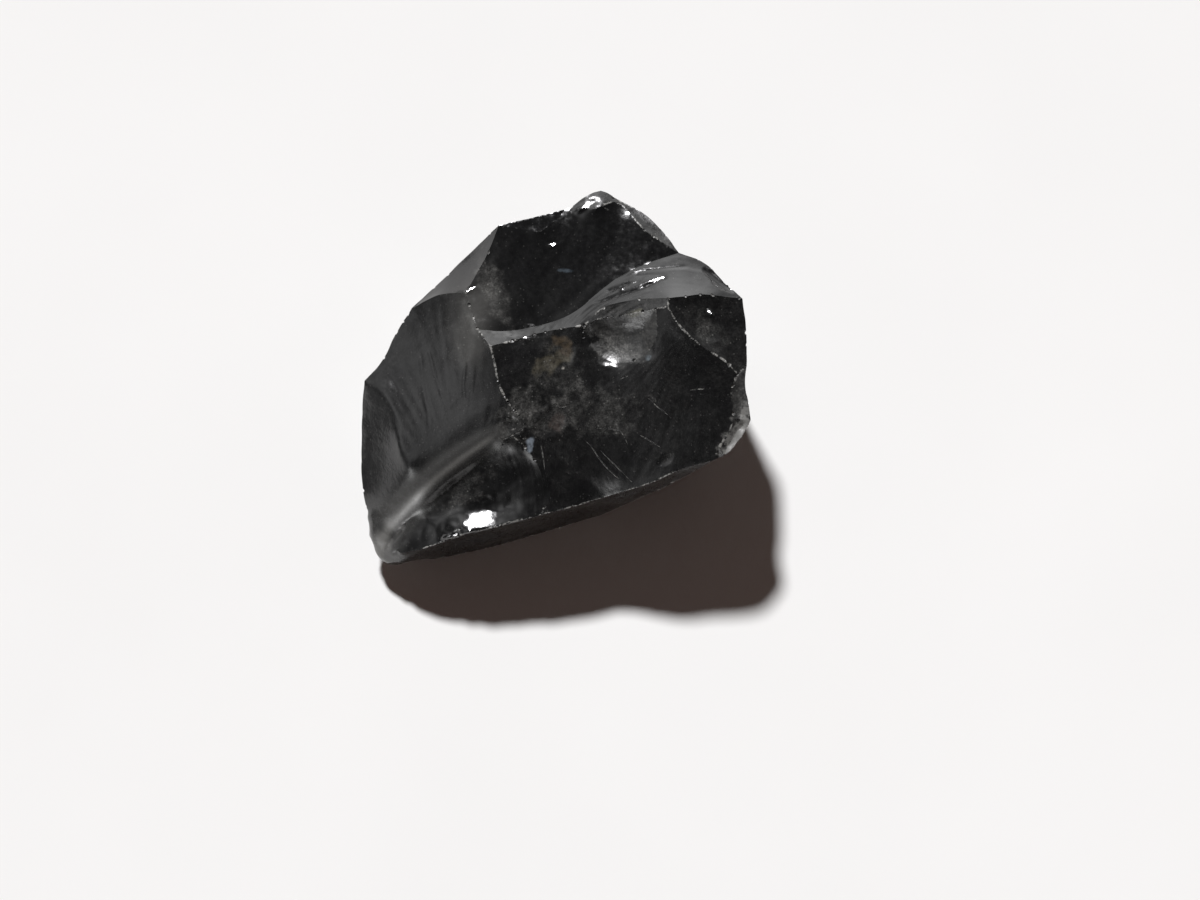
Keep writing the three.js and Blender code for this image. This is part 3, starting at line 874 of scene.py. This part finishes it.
def finish_tree(tree, geometry, finish, result):
    """The end of every tree: instances made real, and the material set."""
    solid = add_node(tree, "GeometryNodeRealizeInstances", geometry)
    finished = add_node(tree, "GeometryNodeSetMaterial", solid, Material=finish)
    tree.links.new(finished.outputs[0], result["Geometry"])


def grown(name, tree, start, values):
    """The plain mesh object that a tree makes from a starting object, which is then removed."""
    modifier = start.modifiers.new(tree.name, "NODES")
    modifier.node_group = tree
    set_inputs(modifier, values)
    shape = start.evaluated_get(bpy.context.evaluated_depsgraph_get())
    mesh = bpy.data.meshes.new_from_object(shape)
    start.modifiers.remove(modifier)
    bpy.data.objects.remove(start)
    thing = bpy.data.objects.new(name, mesh)
    bpy.context.scene.collection.objects.link(thing)
    return thing


# %% The tree that scatters grains
RANDOM = "FunctionNodeRandomValue"
NEAREST_SHARE = 0.8  # two grains are never nearer than this share of their spacing


def grains_tree():
    sizes = dict.fromkeys(("Spacing", "Kept", "Smallest", "Largest"), "Float")
    tree, given, result = new_tree("grains_along_ridges", {**sizes, "Seed": "Int", "Finish": "Material"})
    add, seed = partial(add_node, tree), given["Seed"]
    chains = add("GeometryNodeMeshToCurve", given["Geometry"])
    dots = add("GeometryNodeCurveToPoints", mode="LENGTH", Curve=chains, Length=given["Spacing"])
    near = add(MATH, given["Spacing"], NEAREST_SHARE, operation="MULTIPLY")
    apart = add("GeometryNodeMergeByDistance", Geometry=dots, Distance=near)
    lost = add(MATH, 1.0, given["Kept"], operation="SUBTRACT")
    chance = add(RANDOM, data_type="BOOLEAN", Probability=lost, Seed=seed)
    few = add("GeometryNodeDeleteGeometry", Geometry=apart, Selection=chance)
    grain = add("GeometryNodeMeshIcoSphere", Radius=1.0, Subdivisions=1)
    size = add(RANDOM, data_type="FLOAT_VECTOR", Min=given["Smallest"], Max=given["Largest"], Seed=seed)
    turn = add(RANDOM, data_type="FLOAT_VECTOR", Max=(math.tau,) * 3, Seed=seed)
    scattered = add("GeometryNodeInstanceOnPoints", Points=few, Instance=grain, Rotation=turn, Scale=size)
    finish_tree(tree, scattered, given["Finish"], result)
    return tree


grains = grains_tree()
print("nodes in the tree:", len(grains.nodes))


# %% Grains along the ridges
def ridge_net(name, chosen, lift):
    """The ridge edges whose two ends are chosen, as a net of edges lifted off the surface a little."""
    net = edges[ridge & np.isin(edges, chosen).all(axis=1)]
    used, numbered = np.unique(net, return_inverse=True)
    return mesh_object(name, points[used] + lift * normals[used], [], numbered.reshape(-1, 2).tolist())


crushed = bpy.data.materials.new("crushed_spinel")
GRAIN_FACES = 20
GRAINS = [  # how rubbed the ridge is at least, lift in mm, then the tree's inputs, with the sizes in mm
    (0.45, 0.015, {"Spacing": 0.20, "Smallest": 0.030, "Largest": 0.085}, {"Kept": 0.60, "Seed": 5}),
    (0.12, 0.020, {"Spacing": 0.55, "Smallest": 0.050, "Largest": 0.150}, {"Kept": 0.55, "Seed": 9}),
]
cutters = []
for least, lift, sizes, others in GRAINS:
    values = {name: size * MM for name, size in sizes.items()} | others | {"Finish": crushed}
    cutters.append(grown("grains", grains, ridge_net("net", ridge_points[rubbed > least], lift), values))
    print("grains:", len(cutters[-1].data.polygons) // GRAIN_FACES)

# %% The tree that lays rods
ROD_END = 0.3  # a rod's thickness at its two ends, if it is 1 in the middle
ROD_TAPER = 4 * (1 - ROD_END)  # times the way behind and the way ahead


def rods_tree():
    inputs = {"Thickness": "Float", "Step": "Float", "Finish": "Material"}
    tree, given, result = new_tree("rods_along_scratches", inputs)
    add = partial(add_node, tree)
    ways = add("GeometryNodeMeshToCurve", given["Geometry"])
    even = add("GeometryNodeResampleCurve", mode="LENGTH", Curve=ways, Length=given["Step"])
    behind = add("GeometryNodeSplineParameter")
    ahead = add(MATH, 1.0, behind, operation="SUBTRACT")
    taper = add(MATH, behind, ahead, operation="MULTIPLY")
    share = add(MATH, taper, ROD_TAPER, ROD_END, operation="MULTIPLY_ADD")
    thickness = add(MATH, share, given["Thickness"], operation="MULTIPLY")
    ring = add("GeometryNodeCurvePrimitiveCircle", Resolution=4, Radius=1.0)
    rods = add("GeometryNodeCurveToMesh", Curve=even, Profile_Curve=ring, Scale=thickness, Fill_Caps=True)
    finish_tree(tree, rods, given["Finish"], result)
    return tree


rods = rods_tree()
print("nodes in the tree:", len(rods.nodes))

# %% Rods along the scratches
SCRATCHES = [
    [(1.58, -3.70), (1.98, -4.13), (2.33, -4.66), (2.83, -5.20), (3.34, -5.64)],
    [(2.33, -4.20), (2.73, -4.59), (3.23, -5.08), (3.93, -5.77)],
    [(4.73, -1.84), (5.22, -2.29), (5.72, -2.69)],
    [(2.18, -3.15), (2.93, -3.23), (3.43, -3.44), (3.73, -4.03)],
    [(4.33, -3.58), (4.83, -3.89), (5.33, -4.20)],
    [(6.81, -1.54), (7.20, -1.50), (7.56, -1.52)],
    [(3.33, -0.85), (3.55, -0.76), (3.73, -0.72)],
    [(-2.60, -3.60), (-1.90, -3.30), (-1.30, -3.00)],
    [(-0.10, -1.90), (0.40, -2.10), (0.90, -1.95)],
    [(-0.70, -3.60), (-0.55, -4.30), (-0.45, -5.00)],
]
SCRATCH_STEP, SCRATCH_THICKNESS = 0.12, 0.042
surface = bvhtree.BVHTree.FromPolygons(points.tolist(), triangles.tolist())


def on_surface(x, y):
    """The stone's surface straight below a place well above it."""
    return surface.ray_cast(Vector((x, y, 20)), Vector((0, 0, -1)))[0]


def net_of_ways(paths):
    way_points, way_edges = [], []
    for path in paths:
        first = len(way_points)
        below = [on_surface(x, y) for x, y in curve_through(path)]
        way_points += [point for point in below if point]
        way_edges += [(k, k + 1) for k in range(first, len(way_points) - 1)]
    return mesh_object("ways", way_points, [], way_edges)


values = {"Thickness": SCRATCH_THICKNESS * MM, "Step": SCRATCH_STEP * MM, "Finish": crushed}
cutters.append(grown("rods", rods, net_of_ways(SCRATCHES), values))
print("scratches:", len(SCRATCHES))


# %% Cut them all out
def cut(target, cutter):
    modifier = target.modifiers.new("cut", "BOOLEAN")
    modifier.object = cutter
    modifier.operation = "DIFFERENCE"
    modifier.solver = "MANIFOLD"
    modifier.material_mode = "TRANSFER"
    mesh = bpy.data.meshes.new_from_object(target.evaluated_get(bpy.context.evaluated_depsgraph_get()))
    target.modifiers.remove(modifier)
    target.data = mesh
    bpy.data.objects.remove(cutter)


spinel = bpy.data.materials.new("glassy_black_spinel")
stone.data.materials.append(spinel)
for cutter in cutters:
    cut(stone, cutter)
print("faces once cut:", len(stone.data.polygons), "materials:", [m.name for m in stone.data.materials])

# %% Close the cut mesh and mark what is sharp
TINIEST_EDGE = 0.00005  # mm; shorter ones are dropped, because they would leave a gap
SHARP_ANGLE = math.radians(22)
ON_RIDGE = 0.001  # mm

shape = bmesh.new()
shape.from_mesh(stone.data)
bmesh.ops.dissolve_degenerate(shape, dist=TINIEST_EDGE * MM, edges=shape.edges)
bmesh.ops.triangulate(shape, faces=shape.faces, ngon_method="EAR_CLIP")
open_edges = sum(not e.is_manifold for e in shape.edges)
shape.to_mesh(stone.data)
shape.free()
print("triangles:", len(stone.data.polygons), "open edges:", open_edges)
stone.data.shade_smooth()
stone.data.set_sharp_from_angle(angle=SHARP_ANGLE)

cut_points = np.empty(len(stone.data.vertices) * 3)
stone.data.vertices.foreach_get("co", cut_points)
cut_points = cut_points.reshape(-1, 3) / MM
pairs = np.array([e.vertices for e in stone.data.edges])
still_ridge = (distance_to(points[np.unique(edges[ridge])], cut_points)[0] < ON_RIDGE)[pairs].all(axis=1)
sharp = np.array([e.use_edge_sharp for e in stone.data.edges]) | still_ridge
stone.data.edges.foreach_set("use_edge_sharp", sharp)
print("sharp edges:", int(sharp.sum()))

# %% [markdown]
# ## Finish of each place
#
# The stone is one material, but its finish changes from place to place. Five things are kept at every
# point of the mesh for the shader: how frosted the surface is, how dull, how evenly rubbed to satin, with
# painted sheen in a few bands, how much the ridge there is rubbed, and the colour and strength of each
# stain and of the painted reflection and painted glint among them. A painted image could hold them too,
# but these need no unfolding of the surface and lie exactly on its ridges.

# %% Finish of each scar
FINISH = {  # frost and dullness of each scar
    "left": (0.02, 0.20),
    "shelf": (0.03, 0.22),
    "shoulder": (0.02, 0.12),
    "back bevel": (0.01, 0.04),
    "crest": (0.08, 0.20),
    "basin": (0.012, 0.09),
    "brim": (0.08, 0.26),
    "swoosh": (0.02, 0.14),
    "brow": (0.08, 0.22),
    "plateau": (0.03, 0.20),
    "shell": (0.16, 0.32),
    "right": (0.05, 0.16),
    "flake": (0.16, 0.30),
    "chip": (0.80, 0.50),
    "pocket": (0.015, 0.13),
    "lip": (0.04, 0.24),
}
OTHER_FINISH = (0.06, 0.28)
WORN_DULL, WORN_SATIN = 0.26, 0.13  # the crest of the lip
WALL_FROST = 0.16  # on the back walls, in drifts
DRIFT_SIZE, DRIFT_STRETCH, DRIFT_RIM = 1.5, (1.0, 1.0, 0.6), (-0.05, 0.40)
print("scars with a finish of their own:", len(FINISH))

# %% Clouds, bands of satin and painted sheen, stains with a painted reflection and glint
CLOUDS = [  # middle, half length, half width, turned, frost added
    (-3.10, 3.87, 2.3, 0.75, -72, 0.19),
    (9.20, -3.70, 1.3, 0.6, 55, 1.30),
    (2.33, -2.40, 2.6, 1.3, -15, 0.14),
    (0.20, -0.60, 1.6, 1.0, 10, 0.09),
    (-0.30, -2.70, 1.5, 1.1, 20, 0.12),
    (-2.10, -2.90, 1.4, 0.8, 20, 0.12),
    (-1.60, -1.90, 1.2, 0.8, 20, 0.14),
    (3.30, 0.50, 1.5, 0.7, -12, 0.20),
    (7.90, 1.20, 1.1, 0.7, -50, 0.10),
    (9.50, -2.40, 0.7, 0.5, 70, 0.25),
    (-2.90, -4.30, 1.2, 0.7, 60, 0.06),
    (0.33, 0.41, 1.0, 0.9, 0, 0.12),
    (-8.60, -8.10, 1.1, 0.7, 60, 0.24),
    (-4.60, -6.00, 1.6, 0.8, 40, 0.14),
    (-4.40, 1.60, 1.8, 1.1, 85, 0.07),
]
# Satin is evenly rubbed, grey and smooth. The bands also paint in sheen: the pale stripe along the lip's crest,
# with its wide end on the nose, is a painted highlight, and the broad band over the upper right of the left
# scar is a painted reflection.
SATIN_AND_SHEEN_BANDS = [  # the way each runs, half width, strength, share of the way it fades over
    (lip_crest[:, :2], 0.20, 0.55, 0.12),
    ([(-8.60, -6.60), (-7.79, -5.92), (-6.23, -4.66), (-4.70, -3.76), (-2.80, -3.10)], 0.45, 0.08, 0.12),
    ([(-3.90, 3.20), (-4.20, 1.60), (-4.10, 0.60), (-3.90, -0.60)], 0.85, 0.34, 0.50),
    ([(-9.30, -8.90), (-8.95, -8.00), (-8.60, -7.50)], 0.60, 0.40, 0.12),
]
DULLED = [  # middle, half length, half width, turned, dullness added
    (-8.60, -8.00, 1.3, 0.9, 60, 0.14),
    (-1.80, 1.55, 2.4, 0.60, -8, -0.11),
]
# Most of these are stains: the brown, olive and red-brown patches. The bluish streak in the basin, at (0.60,
# 4.75), is a painted reflection, and the bluish-white spot at (-1.13, -3.81) is a painted glint. The pale spot
# at (0.48, -0.22) and the grey-blue one at (4.75, 0.10) are pale marks in the colour.
STAINS_AND_GLINTS = [  # middle, half length, half width, turned, colour, strength
    (0.10, 0.20, 1.10, 0.55, 25, "#5c5644", 0.40),
    (0.55, 0.95, 0.60, 0.35, -30, "#5f5240", 0.45),
    (0.48, -0.22, 0.14, 0.12, 0, "#c8c6bc", 0.9),
    (0.18, -2.90, 0.60, 0.32, 70, "#40332e", 0.45),
    (-1.13, -3.81, 0.42, 0.20, 80, "#98a3ae", 0.8),
    (0.60, 4.75, 0.55, 0.10, -5, "#5b6770", 0.45),
    (4.75, 0.10, 0.20, 0.14, 0, "#77838a", 0.7),
    (4.10, 2.25, 0.55, 0.20, 8, "#6d6c55", 0.4),
]

RUB_WIDTH = 0.11  # mm on either side of a rubbed ridge
DARK_STRIP, STRIP_LOSS = (-1.6, 1.7, 2.2, 0.55, -5), 0.6  # here the ridges are less pale, by this share
print("clouds:", len(CLOUDS), "bands:", len(SATIN_AND_SHEEN_BANDS), "stains:", len(STAINS_AND_GLINTS))

# %% Frost and dullness
# Each point of the cut mesh takes after the nearest point from before the cuts.
nearest = distance_to(points, cut_points)[1]
on_top = facing_up[nearest]
worn_here = worn_round[nearest]
ragged = swell(cut_points, 0.55, seed=7) + 0.5 * swell(cut_points, 0.2, seed=8)
ragged_edge = 0.7 * ragged

frost, dull = (np.full(len(cut_points), value) for value in OTHER_FINISH)
for name, values in FINISH.items():
    here = scar_of[nearest] == scar[name]
    frost[here], dull[here] = values
for *place, added in CLOUDS:
    frost += added * within(cut_points, place, 0.3, 1.1, ragged_edge) * on_top
behind = (1 - on_top) * smoothstep(-0.4, 0.1, normals[nearest, 1])
drifts = swell(cut_points * DRIFT_STRETCH, DRIFT_SIZE, seed=21) + 0.5 * ragged
drifts = smoothstep(*DRIFT_RIM, drifts)
frost += WALL_FROST * drifts * behind
dull += (WORN_DULL - dull) * worn_here
for *place, added in DULLED:
    dull += added * within(cut_points, place, 0.5, 1.0) * on_top
print("frost from", round(float(frost.min()), 2), "to", round(float(frost.max()), 2))

# %% Satin with painted sheen, stains with a painted reflection and glint, and rubbed ridges
# Satin of the worn crest, then the bands, which carry a painted highlight on the lip and nose and a painted
# reflection on the left scar.
satin_and_sheen = WORN_SATIN * worn_here
for path, half_wide, added, fade in SATIN_AND_SHEEN_BANDS:
    far, along = along_path(cut_points, path)
    narrowing = half_wide * (1.25 - 0.6 * along)
    satin_and_sheen += added * (np.exp(-((far / narrowing) ** 2)) * smoothstep(0, fade, 1 - along)) * on_top
# Stains, with one painted reflection and one painted glint among them.
stain_and_glint = np.zeros((len(cut_points), 4))
for *place, code, strength in STAINS_AND_GLINTS:
    share = strength * within(cut_points, place, 0.5, 1.1, ragged_edge) * on_top
    stain_and_glint[:, :3] = np.where(share[:, None] > 0, linear(code)[:3], stain_and_glint[:, :3])
    stain_and_glint[:, 3] = np.maximum(stain_and_glint[:, 3], share)
far, which = distance_to(points[ridge_points], cut_points)
worn = rubbed[which] * np.clip(1 - far / RUB_WIDTH, 0, 1)
worn *= 1 - STRIP_LOSS * within(cut_points, DARK_STRIP, 0.8, 1.2)
print("stained points:", int((stain_and_glint[:, 3] > 0).sum()), "rubbed points:", int((worn > 0).sum()))


# %% Keep them on the mesh
def keep_on_points(name, values, kind="FLOAT", field="value"):
    layer = stone.data.attributes.new(name, kind, "POINT")
    layer.data.foreach_set(field, values.reshape(-1).astype(np.float32))


for name, values in {"frost": frost, "dull": dull, "worn": worn, "satin_and_sheen": satin_and_sheen}.items():
    keep_on_points(name, values)
keep_on_points("stain_and_glint", stain_and_glint, "FLOAT_COLOR", "color")
print("kept on each point:", [layer.name for layer in stone.data.attributes if layer.domain == "POINT"])

# %% [markdown]
# ## Black spinel
#
# Iron-rich spinel is opaque and black, with a high index of refraction, 1.72, so even its black faces carry
# bright reflections. Freshly broken it is as smooth as glass; rubbed and etched faces scatter a little
# light and look grey. One material does for all of them: the numbers on the mesh say how frosted and how
# dull each place is, and noise of several sizes breaks them up, because wear is never even.

# %% Colours and patterns of the stone
SPINEL_IOR = 1.718
# The grey of frost is also the colour of the painted sheen and the painted sparkles.
BLACK, FROST_AND_SHEEN_GREY, RUBBED_GREY = linear("#0b0b0c"), linear("#72726f"), linear("#8c8c88")
CLOUD_SIZE, MOTTLE_SIZE, SPARKLE_SIZE = 1.1 * MM, 0.22 * MM, 0.15 * MM
GRIT_SIZE = 0.085 * MM  # real etch pits are finer than 0.02 mm, and are drawn as coarse as they need to show
BUMP_HEIGHT = 0.02 * MM

# What a value is brought to, as from this, from that, to this, to that. To this and that are 0 and 1 if
# they aren't given.
CLOUDY = (0.32, 0.68, 0.3, 1.7)
MOTTLED = (0.35, 0.65, 0.5, 1.5)
GRITTY = (0.30, 0.70, 0.4, 1.6)
FEW_CELLS, SPARKLE_RIM = (0.88, 0.89), (0.30, 0.22)  # which cells hold a painted sparkle, and how far it reaches
SPARKLE_STRENGTH = (0.0, 0.25, 0.10, 0.7)  # a painted sparkle is paler where there is more frost
STAIN_AND_GLINT_MOTTLE = (0.30, 0.60, 0.2, 1.0)
RUB_MOTTLE, RUB_RIM = (0.35, 0.65, 0.1, 1.9), (0.35, 0.95)
DULL_MOTTLE, RUB_DULLS = (0.3, 0.7, -0.03, 0.05), 0.2
BUMP_BY_DULL, BUMP_BY_SATIN = (0.10, 0.35, 0.05, 1.0), (0.02, 0.12, 1.0, 0.1)
print("grit, mm:", round(GRIT_SIZE / MM, 3), "specks, mm:", round(SPARKLE_SIZE / MM, 3))


# %% Black spinel
def spinel_colour(add, kept, mottle, rub):
    """Black glass, with frost, painted sheen and painted sparkles, then stains with a painted reflection and
    glint, then rubbed ridges, laid over it in turn.
    """
    place = add("ShaderNodeTexCoord").outputs["Object"]
    clouds = add(NOISE, Vector=place, Scale=1 / CLOUD_SIZE, Detail=4.0, Roughness=0.6)
    grit = add(NOISE, Vector=place, Scale=1 / GRIT_SIZE, Detail=2.0)
    # Painted sparkles: a pale dot in a few cells stands in for tiny facets that flash.
    cells = add("ShaderNodeTexVoronoi", Vector=place, Scale=1 / SPARKLE_SIZE)
    chance = add("ShaderNodeSeparateColor", Color=cells.outputs["Color"])
    few = add(RANGE, chance, *FEW_CELLS)
    painted_sparkle = add(MATH, few, add(RANGE, cells, *SPARKLE_RIM), operation="MULTIPLY")
    frost, satin_and_sheen, stain_and_glint = kept["frost"]["Fac"], kept["satin_and_sheen"]["Fac"], kept["stain_and_glint"]
    glint = add(MATH, painted_sparkle, add(RANGE, frost, *SPARKLE_STRENGTH), operation="MULTIPLY")

    uneven = add(MATH, add(RANGE, clouds, *CLOUDY), add(RANGE, mottle, *MOTTLED), operation="MULTIPLY")
    uneven = add(MATH, uneven, add(RANGE, grit, *GRITTY), operation="MULTIPLY")
    frosted = add(MATH, frost, uneven, operation="MULTIPLY")
    # The pale share: frost, the satin and painted sheen of the bands, and the painted sparkles.
    pale = add(MATH, add(MATH, frosted, satin_and_sheen, operation="ADD"), glint, operation="ADD")
    # Stains, with one painted reflection and one painted glint among them, their strength varied by the mottle.
    stain_and_glint_share = add(MATH, stain_and_glint["Alpha"], add(RANGE, mottle, *STAIN_AND_GLINT_MOTTLE), operation="MULTIPLY")
    colour = BLACK
    for share, over in ((pale, FROST_AND_SHEEN_GREY), (stain_and_glint_share, stain_and_glint["Color"]), (rub, RUBBED_GREY)):
        colour = add("ShaderNodeMix", data_type="RGBA", Factor=share, A=colour, B=over)
    return colour


def spinel_look(material):
    """Broken spinel: glossy where it is fresh, dull and a little bumpy where it is etched or rubbed."""
    material.use_nodes = True
    tree = material.node_tree
    shader = tree.nodes["Principled BSDF"]
    add = partial(add_node, tree)
    place = add("ShaderNodeTexCoord").outputs["Object"]
    mottle = add(NOISE, Vector=place, Scale=1 / MOTTLE_SIZE, Detail=3.0, Roughness=0.65)
    names = ("frost", "dull", "worn", "satin_and_sheen", "stain_and_glint")
    kept = {name: add("ShaderNodeAttribute", attribute_name=name).outputs for name in names}

    rub = add(MATH, kept["worn"]["Fac"], add(RANGE, mottle, *RUB_MOTTLE), operation="MULTIPLY")
    rub = add(RANGE, rub, *RUB_RIM)
    colour = spinel_colour(add, kept, mottle, rub)
    dull = add(MATH, kept["dull"]["Fac"], add(RANGE, mottle, *DULL_MOTTLE), operation="ADD")
    dull = add(MATH, dull, add(MATH, rub, RUB_DULLS, operation="MULTIPLY"), operation="ADD")
    by_dull = add(RANGE, dull, *BUMP_BY_DULL)
    by_satin = add(RANGE, kept["satin_and_sheen"]["Fac"], *BUMP_BY_SATIN)
    strength = add(MATH, by_dull, by_satin, operation="MULTIPLY")
    bump = add("ShaderNodeBump", Strength=strength, Distance=BUMP_HEIGHT, Height=mottle)
    tree.links.new(colour.outputs[2], shader.inputs["Base Color"])
    tree.links.new(dull.outputs[0], shader.inputs["Roughness"])
    tree.links.new(bump.outputs[0], shader.inputs["Normal"])
    shader.inputs["IOR"].default_value = SPINEL_IOR


spinel_look(spinel)
print("nodes in the material:", len(spinel.node_tree.nodes))

# %% [markdown]
# ## Crushed spinel
#
# Where a grain broke out of a ridge, its floor is crushed. The powder scatters light from countless tiny
# faces, as sugar does, so the same black mineral looks pale and matt there.

# %% Crushed spinel
CRUSHED_DARK, CRUSHED_PALE = linear("#1c1c1d"), linear("#8f8f8b")
CRUMB_SIZE = 0.15 * MM  # real crumbs are finer, and are drawn as coarse as they need to show
CRUMB_RIM = (0.45, 0.68)
CRUMB_DULL = (0.3, 0.7, 0.30, 0.55)


def crushed_look(material):
    """Pale crumbs on dark stone."""
    material.use_nodes = True
    tree = material.node_tree
    shader = tree.nodes["Principled BSDF"]
    add = partial(add_node, tree)
    place = add("ShaderNodeTexCoord").outputs["Object"]
    crumbs = add(NOISE, Vector=place, Scale=1 / CRUMB_SIZE, Detail=3.0)
    pale = add(RANGE, crumbs, *CRUMB_RIM)
    colour = add("ShaderNodeMix", data_type="RGBA", Factor=pale, A=CRUSHED_DARK, B=CRUSHED_PALE)
    tree.links.new(colour.outputs[2], shader.inputs["Base Color"])
    tree.links.new(add(RANGE, crumbs, *CRUMB_DULL).outputs[0], shader.inputs["Roughness"])
    shader.inputs["IOR"].default_value = SPINEL_IOR


crushed_look(crushed)
print("nodes in the material:", len(crushed.node_tree.nodes))

# %% [markdown]
# ## Handing over
#
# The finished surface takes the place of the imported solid. It rides on the root body, because a stone has
# nothing that moves.

# %% Hand over
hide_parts("spinel_crystal")
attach(stone, "root")
print("handed over:", stone.name)

sizes = {"cad": [list(corner) for corner in cad_bounds], "visual": [list(corner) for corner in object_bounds()]}
